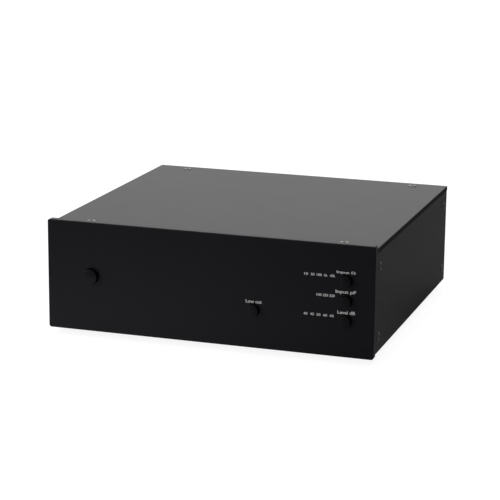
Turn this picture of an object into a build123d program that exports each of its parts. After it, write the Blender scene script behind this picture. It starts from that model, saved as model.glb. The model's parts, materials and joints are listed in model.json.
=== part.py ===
from build123d import *
import os
from math import cos, radians, sin

# A phono preamplifier in a flat case of six metal plates. Millimetres, +Z up, X to the right as seen from
# the front, Y from the front to the back. The origin is under the middle of the whole outline, on the table.

# ---- case plates ----
panel_width = 206.0
panel_height = 68.2
panel_thickness = 4.5
panel_corner_radius = 1.5
panel_edge_chamfer = 0.4
panel_past_side = 0.75
panel_past_cover = 2.6
panel_past_base = 1.3
case_depth = 189.4           # plates behind the front panel
foot_height = 5.1            # underside of the base plate above the table
cover_thickness = 3.0
cover_past_side = 0.25
cover_edge_radius = 0.4
side_thickness = 2.5
base_thickness = 2.0
rear_thickness = 1.5
rear_inset = 1.5             # rear panel's outer face inside the ends of the plates
plate_gap = 0.15             # fitting gap round the base plate and the rear panel
socket_overhang = 6.1        # sockets past the ends of the plates

# ---- M3 screws ----
screw_radius = 1.5
clearance_gap = 0.15         # plain hole round a screw
thread_gap = 0.05            # tapped hole round a screw
head_radius = 2.9            # countersunk head
head_sink = 0.25             # countersunk head below the surface
head_gap = 0.05              # between the head's cone and its seat
hex_socket_radius = 1.15     # over the corners of the 2 mm hex socket
hex_socket_depth = 1.2
pan_head_radius = 2.75
pan_head_height = 1.9
screw_reach = 1.5            # screw tip past its tapped leg
blind_reach = 2.5            # screw or stud in a blind tapped hole
blind_spare = 0.5            # blind hole past the tip
seat_step = 0.2              # held end of a socket's pin or barrel, smaller in radius than its free end

# ---- corner brackets ----
bracket_thickness = 2.5
bracket_flat_x = 26.0        # leg under the cover or on the base
bracket_flat_y = 16.0
bracket_side_z = 17.0        # leg on the side plate
bracket_housing_gap = 0.75   # end leg beside an RCA housing
bracket_guide_gap = 0.8      # end leg above the column's upper guide
plate_screw_margin = 19.5    # cover and base screws inside the side plates
front_screw_inset = 10.0     # cover and side screws behind the front panel
rear_screw_inset = 7.9       # cover and side screws before the ends of the plates
side_screw_margin = 9.15     # side screws from the side plate's long edges
end_screw_x = 7.0            # front and rear panel screws from the side plate
end_screw_z = 6.75           # front and rear panel screws from the corner's flat leg face

# ---- feet ----
foot_radius = 9.0
foot_margin = 17.75          # foot centre inside the side plates
foot_inset = 38.0            # foot centre from either end of the plates
foot_chamfer = 0.8
foot_recess_radius = 4.2
foot_recess_depth = 3.0

# ---- push buttons and switches ----
power_button_edge = 28.4     # button axis from the panel's left edge
column_button_edge = 17.0    # column of three from the panel's right edge
column_pitch = 12.05
low_cut_x = 29.5
low_cut_below_middle = 10.7
power_above_middle = 0.6
power_cap_radius = 4.65
small_cap_radius = 3.35
button_ring_gap = 0.3        # panel hole round a cap
button_proud = 2.8
button_travel = 0.6
cap_clearance = 0.08         # cap in its guide
guide_thickness = 2.0
guide_past = 1.3             # guide's rim past its cap
cap_edge_chamfer = 0.5
cap_collar_gap = 0.1         # cap's collar behind its guide
cap_collar_past = 0.8
cap_collar_thickness = 1.2
stem_radius = 1.6
switch_width = 6.0
switch_height = 3.5
plunger_radius = 1.75
plunger_proud = 1.0
plunger_engaged = 1.5
plunger_clearance = 0.08
plunger_end_gap = 0.2

# ---- indicators ----
indicator_pitch = 4.0
indicator_to_button = 8.7
indicator_columns = 5        # lamps in the longest row
power_indicator_offset = 10.0
light_pipe_radius = 0.5
light_pipe_clearance = 0.05
light_pipe_recess = 0.1
light_pipe_flange_radius = 1.1
light_pipe_flange = 1.0
light_pipe_gap = 0.3         # light pipe to its lamp
lamp_width = 1.6
lamp_depth = 0.8
lamp_height = 1.1

# ---- boards ----
board_thickness = 1.6
control_board_distance = 9.0      # behind the front panel
control_board_margin = 7.75       # to the side plates
control_board_lift = 6.7          # above the base plate
control_board_headroom = 6.6      # below the cover
control_standoff_gap = 5.3        # outer standoffs beside the last indicator of the longest row
control_standoff_margin = 4.5     # from the board's long edges
main_board_lift = 6.0
main_board_margin = 7.75
main_board_front = 40.5           # behind the front panel
main_board_rear_gap = 0.5         # to the rear brackets
main_standoff_margin = 6.0        # from the board's side edges
main_standoff_front = 11.0        # from the board's front edge
main_standoff_rear = 20.0         # from the board's rear edge
standoff_radius = 3.1             # over the corners of the 5.5 mm hexagon
standoff_engaged = 2.5

# ---- ribbon cable ----
ribbon_width = 16.0
ribbon_thickness = 1.0
ribbon_slot_gap = 0.05
ribbon_bend = 10.0
header_length = 20.0
header_width = 6.0
header_stack = 9.0
header_slot = 6.5                 # slot above the board
header_above_board_middle = 4.0   # on the control board
header_inset = 9.0                # from the main board's front edge

# ---- rear sockets across the panel, in modules from its middle ----
rear_modules = 20.6               # modules that fill the panel's width
ground_at = 9.2
rca_input_at = 7.8
xlr_first_at = 5.65
xlr_spacing = 2.7
rca_output_at = -4.55
trigger_at = -5.85
trigger_spacing = 1.05
dc_at = -8.0

# ---- RCA sockets ----
rca_barrel_radius = 4.15
rca_barrel_wall = 0.75
rca_low = 14.1                    # lower axis above the main board
rca_pitch = 16.0
rca_seat = 3.5                    # barrel behind the rear panel's outer face
rca_ring_radius = 5.9
rca_ring_thickness = 1.2
rca_sleeve_radius = 4.9
rca_fit = 0.05
rca_base = 2.0
rca_core_recess = 1.0
contact_bore_radius = 1.6
contact_bore_depth = 9.0
contact_wall = 0.5
contact_tail = 1.5
rca_housing_width = 14.0
rca_housing_depth = 14.0
rca_housing_top = 8.0             # above the upper axis

# ---- XLR sockets ----
xlr_flange_gap = 1.0              # between neighbouring flanges
xlr_flange_height = 31.0
xlr_flange_thickness = 2.0
xlr_flange_corner = 2.5
xlr_body_radius = 11.8
xlr_body_depth = 18.0
xlr_cutout_gap = 0.2
xlr_screw_margin = 3.5            # screw from either edge of the flange
xlr_screw_reach = 1.0
xlr_foot_width = 15.0
xlr_shell_bore = 8.0
xlr_shell_depth = 15.0
xlr_groove_outer = 9.3
xlr_core_radius = 7.0
xlr_groove_depth = 10.0
xlr_pin_circle = 4.95
xlr_pin_radius = 1.2
xlr_pin_recess = 2.0
xlr_pin_seat = 2.0
xlr_insert_seat = 2.0             # insert held below the groove's floor
xlr_insert_recess = 0.5
xlr_insert_gap = 0.05
xlr_contact_bore = 1.3
xlr_contact_depth = 10.0
xlr_contact_wall = 0.4
xlr_contact_recess = 0.5          # contact's mouth below the insert's face

# ---- trigger jacks and DC inlet ----
jack_axis_height = 6.0            # above the main board
trigger_body_width = 6.8
trigger_body_depth = 12.0
trigger_body_height = 10.0
trigger_ferrule_radius = 3.0
trigger_ferrule_proud = 1.5
trigger_bore_radius = 1.8
trigger_bore_depth = 13.5
dc_body_width = 9.0
dc_body_depth = 12.0
dc_body_height = 11.0
dc_boss_radius = 4.0
dc_boss_proud = 0.5
dc_bore_radius = 2.85
dc_bore_depth = 9.5
dc_pin_radius = 1.05
dc_pin_recess = 1.0
dc_pin_seat = 1.0
boss_gap = 0.1                    # panel hole round a ferrule or boss

# ---- ground terminal ----
stud_radius = 2.0
stud_inside = 7.0
stud_collar_radius = 4.0
stud_collar = 1.0
ground_nut_radius = 4.0           # over the corners of the 7 mm hexagon
ground_nut_height = 2.4
washer_radius = 4.5
washer_thickness = 0.8
washer_bore_gap = 0.1
knob_radius = 5.2
knob_bore_gap = 0.08
knob_end_gap = 0.6                # stud's end past the knob
knob_grooves = 24
knob_groove_radius = 0.35

# ---- parts on the main board ----
capacitor_radius = 5.0
capacitor_height = 16.0
capacitor_pitch = 14.0
capacitor_columns = 8
film_length = 13.0
film_width = 5.0
film_height = 11.0
film_pitch = 17.0
film_columns = 8
relay_length = 15.0
relay_width = 7.5
relay_height = 10.0
relay_pitch = 21.0
relay_columns = 6
chip_length = 5.0
chip_width = 4.0
chip_height = 1.6
chip_pitch = 18.0
chip_columns = 8
processor_width = 10.0
processor_height = 1.4
processor_margin = 22.0           # processor's middle from the board's left edge
row_gap = 11.0                    # between rows of parts

# ---- places worked out from the sizes above ----
total_depth = panel_thickness + case_depth + socket_overhang
front_y = -(total_depth - button_proud) / 2
back_y = front_y + panel_thickness
end_y = back_y + case_depth
rear_face_y = end_y - rear_inset
rear_y = rear_face_y - rear_thickness
socket_end_y = end_y + socket_overhang
base_z = foot_height
floor_z = base_z + base_thickness
panel_z = base_z - panel_past_base
panel_middle_z = panel_z + panel_height / 2
cover_top_z = panel_z + panel_height - panel_past_cover
cover_z = cover_top_z - cover_thickness
side_x = panel_width / 2 - panel_past_side
inner_x = side_x - side_thickness
plate_x = inner_x - plate_gap
cover_screw_x = inner_x - plate_screw_margin
foot_x = inner_x - foot_margin
screw_front_y = back_y + front_screw_inset
screw_rear_y = end_y - rear_screw_inset
hole_radius = screw_radius + clearance_gap
tapped_radius = screw_radius + thread_gap
blind_depth = blind_reach + blind_spare
countersink_radius = head_radius + head_sink + head_gap
control_y = back_y + control_board_distance
control_x = inner_x - control_board_margin
control_z = floor_z + control_board_lift
control_board_height = cover_z - control_board_headroom - control_z
column_x = panel_width / 2 - column_button_edge
upper_guide_z = panel_middle_z + column_pitch + small_cap_radius + guide_past
last_indicator_x = column_x - indicator_to_button - (indicator_columns - 1) * indicator_pitch
control_standoff_x = last_indicator_x - control_standoff_gap
board_z = floor_z + main_board_lift
board_top_z = board_z + board_thickness
board_x = inner_x - main_board_margin
board_front_y = back_y + main_board_front
board_rear_y = rear_y - bracket_thickness - main_board_rear_gap
plunger_y = control_y - switch_height - plunger_proud
jack_z = board_top_z + jack_axis_height
rear_middle_z = (floor_z + cover_z) / 2
module = panel_width / rear_modules
ground_x = ground_at * module
rca_input_x = rca_input_at * module
rca_output_x = rca_output_at * module
xlr_first_x = xlr_first_at * module
xlr_pitch = xlr_spacing * module
trigger_x = trigger_at * module
trigger_pitch = trigger_spacing * module
dc_x = dc_at * module
bracket_end_z = cover_z - upper_guide_z - bracket_guide_gap
bracket_end_x = inner_x - rca_input_x - rca_housing_width / 2 - bracket_housing_gap
xlr_flange_width = xlr_pitch - xlr_flange_gap
xlr_screw_x = xlr_flange_width / 2 - xlr_screw_margin
xlr_screw_z = xlr_flange_height / 2 - xlr_screw_margin


def block(x0, x1, y0, y1, z0, z1):
    """A box between two corners."""
    return Pos((x0 + x1) / 2, (y0 + y1) / 2, (z0 + z1) / 2) * Box(x1 - x0, y1 - y0, z1 - z0)


def rod_y(x, z, radius, y0, y1):
    """A round bar along Y."""
    return Pos(x, (y0 + y1) / 2, z) * Rot(90, 0, 0) * Cylinder(radius, y1 - y0)


def tube_y(x, z, outer, inner, y0, y1):
    """A round tube along Y."""
    return rod_y(x, z, outer, y0, y1) - rod_y(x, z, inner, y0, y1)


def hex_y(x, z, radius, y0, y1):
    """A hexagonal bar along Y."""
    bar = extrude(RegularPolygon(radius, 6), y1 - y0)
    return Pos(x, y1, z) * Rot(90, 0, 0) * bar


def make_pin(x, z, radius, seat_y, floor_y, tip_y):
    """A contact pin: a thinner held end, then the free end from its housing's floor to its tip."""
    return rod_y(x, z, radius - seat_step, seat_y, floor_y) + rod_y(x, z, radius, floor_y, tip_y)


def group(parts):
    """Separate solids in one node."""
    return Compound([solid for part in parts for solid in part.solids()])


def facing(x, y, z, direction):
    """A place whose local +Z points out of a surface."""
    return Plane(origin=(x, y, z), z_dir=direction).location


# ---- fasteners: the local origin is on the clamped surface, +Z points out of it ----
def countersunk_screw(grip, reach):
    """An M3 countersunk screw through a plate of the given grip, with its tip past it."""
    cone_height = head_radius - screw_radius
    head = Pos(0, 0, -head_sink - cone_height / 2) * Cone(screw_radius, head_radius, cone_height)
    length = grip + reach - head_sink
    shank = Pos(0, 0, -head_sink - length / 2) * Cylinder(screw_radius, length)
    socket = Pos(0, 0, -head_sink - hex_socket_depth) * extrude(
        RegularPolygon(hex_socket_radius, 6), hex_socket_depth)
    return head + shank - socket


def countersink(depth):
    """The cut for a countersunk screw through a plate."""
    cone_height = countersink_radius - hole_radius
    cone = Pos(0, 0, -cone_height / 2) * Cone(hole_radius, countersink_radius, cone_height)
    return cone + Pos(0, 0, -depth / 2) * Cylinder(hole_radius, depth)


def tapped_cut(near, far):
    """The cut for a tapped hole between two depths."""
    return Pos(0, 0, -(near + far) / 2) * Cylinder(tapped_radius, far - near)


def pan_screw(grip, reach):
    """An M3 pan-head screw seated on the surface."""
    length = grip + reach
    head = Pos(0, 0, pan_head_height / 2) * Cylinder(pan_head_radius, pan_head_height)
    head = chamfer(head.edges().group_by(Axis.Z)[-1], pan_head_height / 4)
    shank = Pos(0, 0, -length / 2) * Cylinder(screw_radius, length)
    socket = Pos(0, 0, pan_head_height - hex_socket_depth) * extrude(
        RegularPolygon(hex_socket_radius, 6), hex_socket_depth)
    return head + shank - socket


def cover_screw_places():
    """Where the cover's screws enter, and straight below them the base plate's."""
    return [(sx * cover_screw_x, y) for sx in (-1, 1) for y in (screw_front_y, screw_rear_y)]


def side_screw_places():
    """Where a side plate's screws enter: Y and Z."""
    heights = (base_z + side_screw_margin, cover_z - side_screw_margin)
    return [(y, z) for y in (screw_front_y, screw_rear_y) for z in heights]


def end_screw_places():
    """Where the front and rear panels are screwed to their brackets: X and Z."""
    heights = (floor_z + end_screw_z, cover_z - end_screw_z)
    return [(sx * (inner_x - end_screw_x), z) for sx in (-1, 1) for z in heights]


def foot_places():
    """The feet's centres."""
    return [(sx * foot_x, y) for sx in (-1, 1) for y in (back_y + foot_inset, end_y - foot_inset)]


def button_places():
    """Each push button's X, Z and cap radius."""
    return {
        "power": (power_button_edge - panel_width / 2, panel_middle_z + power_above_middle, power_cap_radius),
        "low_cut": (low_cut_x, panel_middle_z - low_cut_below_middle, small_cap_radius),
        "impedance": (column_x, panel_middle_z + column_pitch, small_cap_radius),
        "capacitance": (column_x, panel_middle_z, small_cap_radius),
        "gain": (column_x, panel_middle_z - column_pitch, small_cap_radius),
    }


def indicator_places():
    """The indicator lamps: five, three and five beside the column, one each for power and low cut."""
    places = []
    rows = {"impedance": indicator_columns, "capacitance": 3, "gain": indicator_columns, "low_cut": 1}
    for name, count in rows.items():
        x, z, _ = button_places()[name]
        places += [(x - indicator_to_button - i * indicator_pitch, z) for i in range(count)]
    x, z, _ = button_places()["power"]
    return places + [(x + power_indicator_offset, z)]


def control_standoff_places():
    """Six standoffs between the front panel and the control board: X and Z."""
    low = control_z + control_standoff_margin
    high = control_z + control_board_height - control_standoff_margin
    return [(x, z) for x in (-control_standoff_x, 0, control_standoff_x) for z in (low, high)]


def main_standoff_places():
    """Six standoffs under the main board: X and Y."""
    x = board_x - main_standoff_margin
    front = board_front_y + main_standoff_front
    rear = board_rear_y - main_standoff_rear
    return [(sx * x, y) for sx in (-1, 1) for y in (front, (front + rear) / 2, rear)]


def rca_places():
    """RCA axes: inputs and outputs, left channel above right."""
    low = board_top_z + rca_low
    left = [(rca_input_x, low + rca_pitch), (rca_output_x, low + rca_pitch)]
    right = [(rca_input_x, low), (rca_output_x, low)]
    return left, right


def xlr_places():
    """XLR axes along X: two inputs, then two outputs."""
    centres = [xlr_first_x - i * xlr_pitch for i in range(4)]
    return centres[:2], centres[2:]


def pin_offsets():
    """The three contacts of an XLR socket about its axis."""
    return [(xlr_pin_circle * cos(radians(a)), xlr_pin_circle * sin(radians(a))) for a in (45, 135, 270)]


# ---- case ----
def make_front_panel():
    panel = block(-panel_width / 2, panel_width / 2, front_y, back_y, panel_z, panel_z + panel_height)
    panel = fillet(panel.edges().filter_by(Axis.Y), panel_corner_radius)
    panel = chamfer(panel.faces().sort_by(Axis.Y)[0].edges(), panel_edge_chamfer)
    for x, z, cap_radius in button_places().values():
        panel -= rod_y(x, z, cap_radius + button_ring_gap, front_y, back_y)
    for x, z in indicator_places():
        panel -= rod_y(x, z, light_pipe_radius + light_pipe_clearance, front_y, back_y)
    for x, z in end_screw_places() + control_standoff_places():
        panel -= rod_y(x, z, tapped_radius, back_y - blind_depth, back_y)
    return panel


def make_cover():
    x = side_x + cover_past_side
    cover = block(-x, x, back_y, end_y, cover_z, cover_top_z)
    cover = fillet(cover.edges().filter_by(Axis.Y).group_by(Axis.Z)[-1], cover_edge_radius)
    for sx, sy in cover_screw_places():
        cover -= facing(sx, sy, cover_top_z, (0, 0, 1)) * countersink(cover_thickness)
    return cover


def make_side(sign):
    low, high = sorted((sign * inner_x, sign * side_x))
    side = block(low, high, back_y, end_y, base_z, cover_z)
    for y, z in side_screw_places():
        side -= facing(sign * side_x, y, z, (sign, 0, 0)) * countersink(side_thickness)
    return side


def make_base():
    base = block(-plate_x, plate_x, back_y, end_y, base_z, floor_z)
    for x, y in cover_screw_places() + main_standoff_places():
        base -= facing(x, y, base_z, (0, 0, -1)) * countersink(base_thickness)
    for x, y in foot_places():
        base -= facing(x, y, base_z, (0, 0, -1)) * tapped_cut(0, base_thickness)
    return base


def make_rear_panel():
    panel = block(-plate_x, plate_x, rear_y, rear_face_y, floor_z + plate_gap, cover_z - plate_gap)
    for x, z in end_screw_places():
        panel -= rod_y(x, z, hole_radius, rear_y, rear_face_y)
    for x, z in rca_places()[0] + rca_places()[1]:
        panel -= rod_y(x, z, rca_sleeve_radius + rca_fit, rear_y, rear_face_y)
    for x in xlr_places()[0] + xlr_places()[1]:
        panel -= rod_y(x, rear_middle_z, xlr_body_radius + xlr_cutout_gap, rear_y, rear_face_y)
        for s in (-1, 1):
            panel -= rod_y(x + s * xlr_screw_x, rear_middle_z - s * xlr_screw_z, tapped_radius,
                           rear_y, rear_face_y)
    for x in (trigger_x, trigger_x - trigger_pitch):
        panel -= rod_y(x, jack_z, trigger_ferrule_radius + boss_gap, rear_y, rear_face_y)
    panel -= rod_y(dc_x, jack_z, dc_boss_radius + boss_gap, rear_y, rear_face_y)
    panel -= rod_y(ground_x, rear_middle_z, stud_radius + boss_gap, rear_y, rear_face_y)
    return panel


def make_bracket(end_inset, side_inset, end_gap_radius):
    """A corner bracket for the +X, +Y, +Z corner: the origin is the corner, the legs run inwards."""
    flat = block(-bracket_flat_x, 0, -bracket_flat_y, 0, -bracket_thickness, 0)
    side = block(-bracket_thickness, 0, -bracket_flat_y, 0, -bracket_side_z, 0)
    end = block(-bracket_end_x, 0, -bracket_thickness, 0, -bracket_end_z, 0)
    bracket = flat + side + end
    across = inner_x - cover_screw_x
    bracket -= Pos(-across, -end_inset, 0) * tapped_cut(0, bracket_thickness)
    bracket -= facing(0, -end_inset, -side_inset, (1, 0, 0)) * tapped_cut(0, bracket_thickness)
    bracket -= rod_y(-end_screw_x, -end_screw_z, end_gap_radius, -bracket_thickness, 0)
    return bracket


def make_brackets():
    """Eight brackets: front and rear, left and right, under the cover and on the base."""
    brackets = []
    rear_inset_y = rear_y - screw_rear_y
    for top in (True, False):
        side_inset = side_screw_margin if top else side_screw_margin - base_thickness
        for rear in (True, False):
            end_inset = rear_inset_y if rear else front_screw_inset
            corner = make_bracket(end_inset, side_inset, tapped_radius if rear else hole_radius)
            if not rear:
                corner = mirror(corner, about=Plane.XZ)
            if not top:
                corner = mirror(corner, about=Plane.XY)
            y = rear_y if rear else back_y
            z = cover_z if top else floor_z
            brackets.append(Pos(inner_x, y, z) * corner)
            brackets.append(Pos(-inner_x, y, z) * mirror(corner, about=Plane.YZ))
    return group(brackets)


def make_cover_screws():
    screw = countersunk_screw(cover_thickness + bracket_thickness, screw_reach)
    return group([facing(x, y, cover_top_z, (0, 0, 1)) * screw for x, y in cover_screw_places()])


def make_side_screws():
    screw = countersunk_screw(side_thickness + bracket_thickness, screw_reach)
    return group([facing(sign * side_x, y, z, (sign, 0, 0)) * screw
                  for sign in (-1, 1) for y, z in side_screw_places()])


def make_base_screws():
    """Four screws into the lower brackets and six into the main board's standoffs."""
    corner = countersunk_screw(base_thickness + bracket_thickness, screw_reach)
    standoff = countersunk_screw(base_thickness, standoff_engaged)
    screws = [facing(x, y, base_z, (0, 0, -1)) * corner for x, y in cover_screw_places()]
    screws += [facing(x, y, base_z, (0, 0, -1)) * standoff for x, y in main_standoff_places()]
    return group(screws)


def make_rear_screws():
    screw = pan_screw(rear_thickness, bracket_thickness)
    return group([facing(x, rear_face_y, z, (0, 1, 0)) * screw for x, z in end_screw_places()])


def make_front_screws():
    screw = pan_screw(bracket_thickness, blind_reach)
    y = back_y + bracket_thickness
    return group([facing(x, y, z, (0, 1, 0)) * screw for x, z in end_screw_places()])


# ---- feet ----
def make_foot(x, y):
    foot = Pos(0, 0, foot_height / 2) * Cylinder(foot_radius, foot_height)
    foot = chamfer(foot.edges().group_by(Axis.Z)[0], foot_chamfer)
    foot -= Pos(0, 0, foot_height / 2) * Cylinder(hole_radius, foot_height)
    foot -= Pos(0, 0, foot_recess_depth / 2) * Cylinder(foot_recess_radius, foot_recess_depth)
    return Pos(x, y, 0) * foot


def make_foot_screws():
    screw = pan_screw(foot_height - foot_recess_depth, base_thickness)
    return group([facing(x, y, foot_recess_depth, (0, 0, -1)) * screw for x, y in foot_places()])


# ---- buttons ----
def make_cap(x, z, cap_radius):
    """A cap with the collar that keeps it in its guide and the stem that pushes its switch."""
    collar_y = back_y + guide_thickness + cap_collar_gap
    cap = rod_y(x, z, cap_radius, front_y - button_proud, collar_y)
    cap = chamfer(cap.edges().group_by(Axis.Y)[0], cap_edge_chamfer)
    cap += rod_y(x, z, cap_radius + cap_collar_past, collar_y, collar_y + cap_collar_thickness)
    return cap + rod_y(x, z, stem_radius, collar_y + cap_collar_thickness, plunger_y)


def make_guide(x, z, cap_radius):
    """The moulded bush that a cap slides in, bonded to the back of the front panel."""
    return tube_y(x, z, cap_radius + guide_past, cap_radius + cap_clearance, back_y, back_y + guide_thickness)


def make_plunger(x, z):
    return rod_y(x, z, plunger_radius, plunger_y, plunger_y + plunger_proud + plunger_engaged)


def make_switch(x, z):
    """A momentary switch body with the well that its plunger sinks into."""
    half = switch_width / 2
    body = block(x - half, x + half, control_y - switch_height, control_y, z - half, z + half)
    depth = plunger_engaged + button_travel + plunger_end_gap
    return body - rod_y(x, z, plunger_radius + plunger_clearance,
                        control_y - switch_height, control_y - switch_height + depth)


# ---- indicators ----
def make_light_pipe(x, z):
    pipe = rod_y(x, z, light_pipe_radius, front_y + light_pipe_recess,
                 control_y - lamp_height - light_pipe_gap)
    return pipe + rod_y(x, z, light_pipe_flange_radius, back_y, back_y + light_pipe_flange)


def make_lamp(x, z):
    return block(x - lamp_width / 2, x + lamp_width / 2, control_y - lamp_height, control_y,
                 z - lamp_depth / 2, z + lamp_depth / 2)


# ---- boards ----
def make_control_board():
    board = block(-control_x, control_x, control_y, control_y + board_thickness,
                  control_z, control_z + control_board_height)
    for x, z in control_standoff_places():
        board -= rod_y(x, z, hole_radius, control_y, control_y + board_thickness)
    return board


def make_control_standoff(x, z):
    """A hexagonal standoff with a stud in the front panel and a tapped hole for the board's screw."""
    pillar = hex_y(x, z, standoff_radius, back_y, control_y) + rod_y(x, z, screw_radius,
                                                                     back_y - blind_reach, back_y)
    return pillar - rod_y(x, z, tapped_radius, control_y - blind_depth, control_y)


def make_main_board():
    board = block(-board_x, board_x, board_front_y, board_rear_y, board_z, board_top_z)
    for x, y in main_standoff_places():
        board -= Pos(x, y, (board_z + board_top_z) / 2) * Cylinder(hole_radius, board_thickness)
    return board


def make_main_standoff(x, y):
    pillar = Pos(x, y, floor_z) * extrude(RegularPolygon(standoff_radius, 6), main_board_lift)
    return pillar - Pos(x, y, floor_z + main_board_lift / 2) * Cylinder(tapped_radius, main_board_lift)


# ---- ribbon cable ----
def ribbon_places():
    """The ribbon's depth behind the control board, its height over the main board, and its two headers."""
    y = control_y + board_thickness + header_slot
    z = board_top_z + header_slot
    header_z = control_z + control_board_height / 2 + header_above_board_middle
    header_y = board_front_y + header_inset
    return y, z, header_z, header_y


def make_headers():
    """Plug and header on each board, with the slot that grips the ribbon."""
    ribbon_y, ribbon_z, header_z, header_y = ribbon_places()
    half, across = header_length / 2, header_width / 2
    slot_x = ribbon_width / 2 + ribbon_slot_gap
    slot = ribbon_thickness / 2 + ribbon_slot_gap
    upright = block(-half, half, control_y + board_thickness, control_y + board_thickness + header_stack,
                    header_z - across, header_z + across)
    upright -= block(-slot_x, slot_x, ribbon_y - slot, ribbon_y + slot, header_z - across, header_z + across)
    flat = block(-half, half, header_y - across, header_y + across, board_top_z, board_top_z + header_stack)
    flat -= block(-slot_x, slot_x, header_y - across, header_y + across, ribbon_z - slot, ribbon_z + slot)
    return group([upright, flat])


def make_ribbon():
    """The flat cable: down behind the control board, round one bend and back to the main board."""
    ribbon_y, ribbon_z, header_z, header_y = ribbon_places()
    across = header_width / 2
    path = FilletPolyline((0, ribbon_y, header_z + across), (0, ribbon_y, ribbon_z),
                          (0, header_y + across, ribbon_z), radius=ribbon_bend)
    start = Plane(origin=path @ 0, x_dir=(1, 0, 0), z_dir=path % 0)
    return sweep(start * Rectangle(ribbon_width, ribbon_thickness), path=path)


# ---- RCA sockets ----
rca_back_y = rear_face_y - rca_seat
rca_core_end_y = socket_end_y - rca_core_recess
contact_outer = contact_bore_radius + contact_wall


def make_rca_barrel(x, z):
    """The plated shell that a plug's skirt grips, with a thinner end held in the insulator."""
    barrel = make_pin(x, z, rca_barrel_radius, rca_back_y, rear_face_y + rca_ring_thickness, socket_end_y)
    return barrel - rod_y(x, z, rca_barrel_radius - rca_barrel_wall, rca_back_y, socket_end_y)


def make_rca_insulator(x, z):
    """Coloured ring and sleeve outside the barrel, a base behind it and a core inside it."""
    inside = rca_barrel_radius - seat_step + rca_fit
    ring = tube_y(x, z, rca_ring_radius, inside, rear_face_y, rear_face_y + rca_ring_thickness)
    sleeve = tube_y(x, z, rca_sleeve_radius, inside, rca_back_y, rear_face_y)
    base = rod_y(x, z, rca_sleeve_radius, rca_back_y - rca_base, rca_back_y)
    core = rod_y(x, z, rca_barrel_radius - rca_barrel_wall - rca_fit, rca_back_y, rca_core_end_y)
    moulding = ring + sleeve + base + core
    return moulding - rod_y(x, z, contact_outer + rca_fit, rca_back_y - rca_base, rca_core_end_y)


def make_rca_contact(x, z):
    """The centre contact: a blind tube that grips a plug's pin."""
    contact = rod_y(x, z, contact_outer, rca_back_y - rca_base - contact_tail, rca_core_end_y)
    return contact - rod_y(x, z, contact_bore_radius, rca_core_end_y - contact_bore_depth, rca_core_end_y)


def make_rca_housing(x):
    """The black moulding on the main board that carries a stacked pair of sockets."""
    half = rca_housing_width / 2
    low = board_top_z + rca_low
    front = rear_y - rca_housing_depth
    housing = block(x - half, x + half, front, rear_y, board_top_z, low + rca_pitch + rca_housing_top)
    for z in (low, low + rca_pitch):
        housing -= rod_y(x, z, rca_sleeve_radius + rca_fit, rca_back_y - rca_base, rear_y)
        housing -= rod_y(x, z, contact_outer + rca_fit, rca_back_y - rca_base - contact_tail, rear_y)
    return housing


# ---- XLR sockets ----
def make_xlr_body(x):
    """Flange, round body and the foot that stands on the main board, without its contacts."""
    half, tall = xlr_flange_width / 2, xlr_flange_height / 2
    face_y = rear_face_y + xlr_flange_thickness
    flange = block(x - half, x + half, rear_face_y, face_y, rear_middle_z - tall, rear_middle_z + tall)
    flange = fillet(flange.edges().filter_by(Axis.Y), xlr_flange_corner)
    body = flange + rod_y(x, rear_middle_z, xlr_body_radius, rear_y - xlr_body_depth, rear_face_y)
    foot = xlr_foot_width / 2
    body += block(x - foot, x + foot, rear_y - xlr_body_depth, rear_y, board_top_z, rear_middle_z)
    for s in (-1, 1):
        body -= facing(x + s * xlr_screw_x, face_y, rear_middle_z - s * xlr_screw_z, (0, 1, 0)) * countersink(
            xlr_flange_thickness)
    return body, face_y


def make_xlr_input(x):
    """A female socket's shell, with the seat for its insert."""
    body, face_y = make_xlr_body(x)
    floor_y = face_y - xlr_groove_depth
    body -= rod_y(x, rear_middle_z, xlr_groove_outer, floor_y, face_y)
    seat_radius = xlr_core_radius + xlr_insert_gap
    return body - rod_y(x, rear_middle_z, seat_radius, floor_y - xlr_insert_seat, floor_y)


def xlr_insert_span():
    """The insert's back and front along Y."""
    face_y = rear_face_y + xlr_flange_thickness
    return face_y - xlr_groove_depth - xlr_insert_seat, face_y - xlr_insert_recess


def make_xlr_insert(x):
    """The moulded insert that stands in the groove's middle and holds three contacts."""
    back, front = xlr_insert_span()
    insert = rod_y(x, rear_middle_z, xlr_core_radius, back, front)
    for dx, dz in pin_offsets():
        insert -= rod_y(x + dx, rear_middle_z + dz, xlr_contact_bore + xlr_contact_wall + xlr_insert_gap,
                        back, front)
    return insert


def make_xlr_contacts(x):
    """The three tubes that take a plug's pins."""
    back, front = xlr_insert_span()
    mouth_y = front - xlr_contact_recess
    return [rod_y(x + dx, rear_middle_z + dz, xlr_contact_bore + xlr_contact_wall, back, mouth_y)
            - rod_y(x + dx, rear_middle_z + dz, xlr_contact_bore, mouth_y - xlr_contact_depth, mouth_y)
            for dx, dz in pin_offsets()]


def make_xlr_output(x):
    """A male socket: a round shell that shields three pins."""
    body, face_y = make_xlr_body(x)
    body -= rod_y(x, rear_middle_z, xlr_shell_bore, face_y - xlr_shell_depth, face_y)
    for dx, dz in pin_offsets():
        body -= rod_y(x + dx, rear_middle_z + dz, xlr_pin_radius - seat_step + thread_gap,
                      face_y - xlr_shell_depth - xlr_pin_seat, face_y)
    return body


def make_xlr_pins(x):
    face_y = rear_face_y + xlr_flange_thickness
    floor_y = face_y - xlr_shell_depth
    return [make_pin(x + dx, rear_middle_z + dz, xlr_pin_radius, floor_y - xlr_pin_seat, floor_y,
                     face_y - xlr_pin_recess) for dx, dz in pin_offsets()]


def make_xlr_screws():
    screw = countersunk_screw(xlr_flange_thickness + rear_thickness, xlr_screw_reach)
    y = rear_face_y + xlr_flange_thickness
    return group([facing(x + s * xlr_screw_x, y, rear_middle_z - s * xlr_screw_z, (0, 1, 0)) * screw
                  for x in xlr_places()[0] + xlr_places()[1] for s in (-1, 1)])


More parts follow.
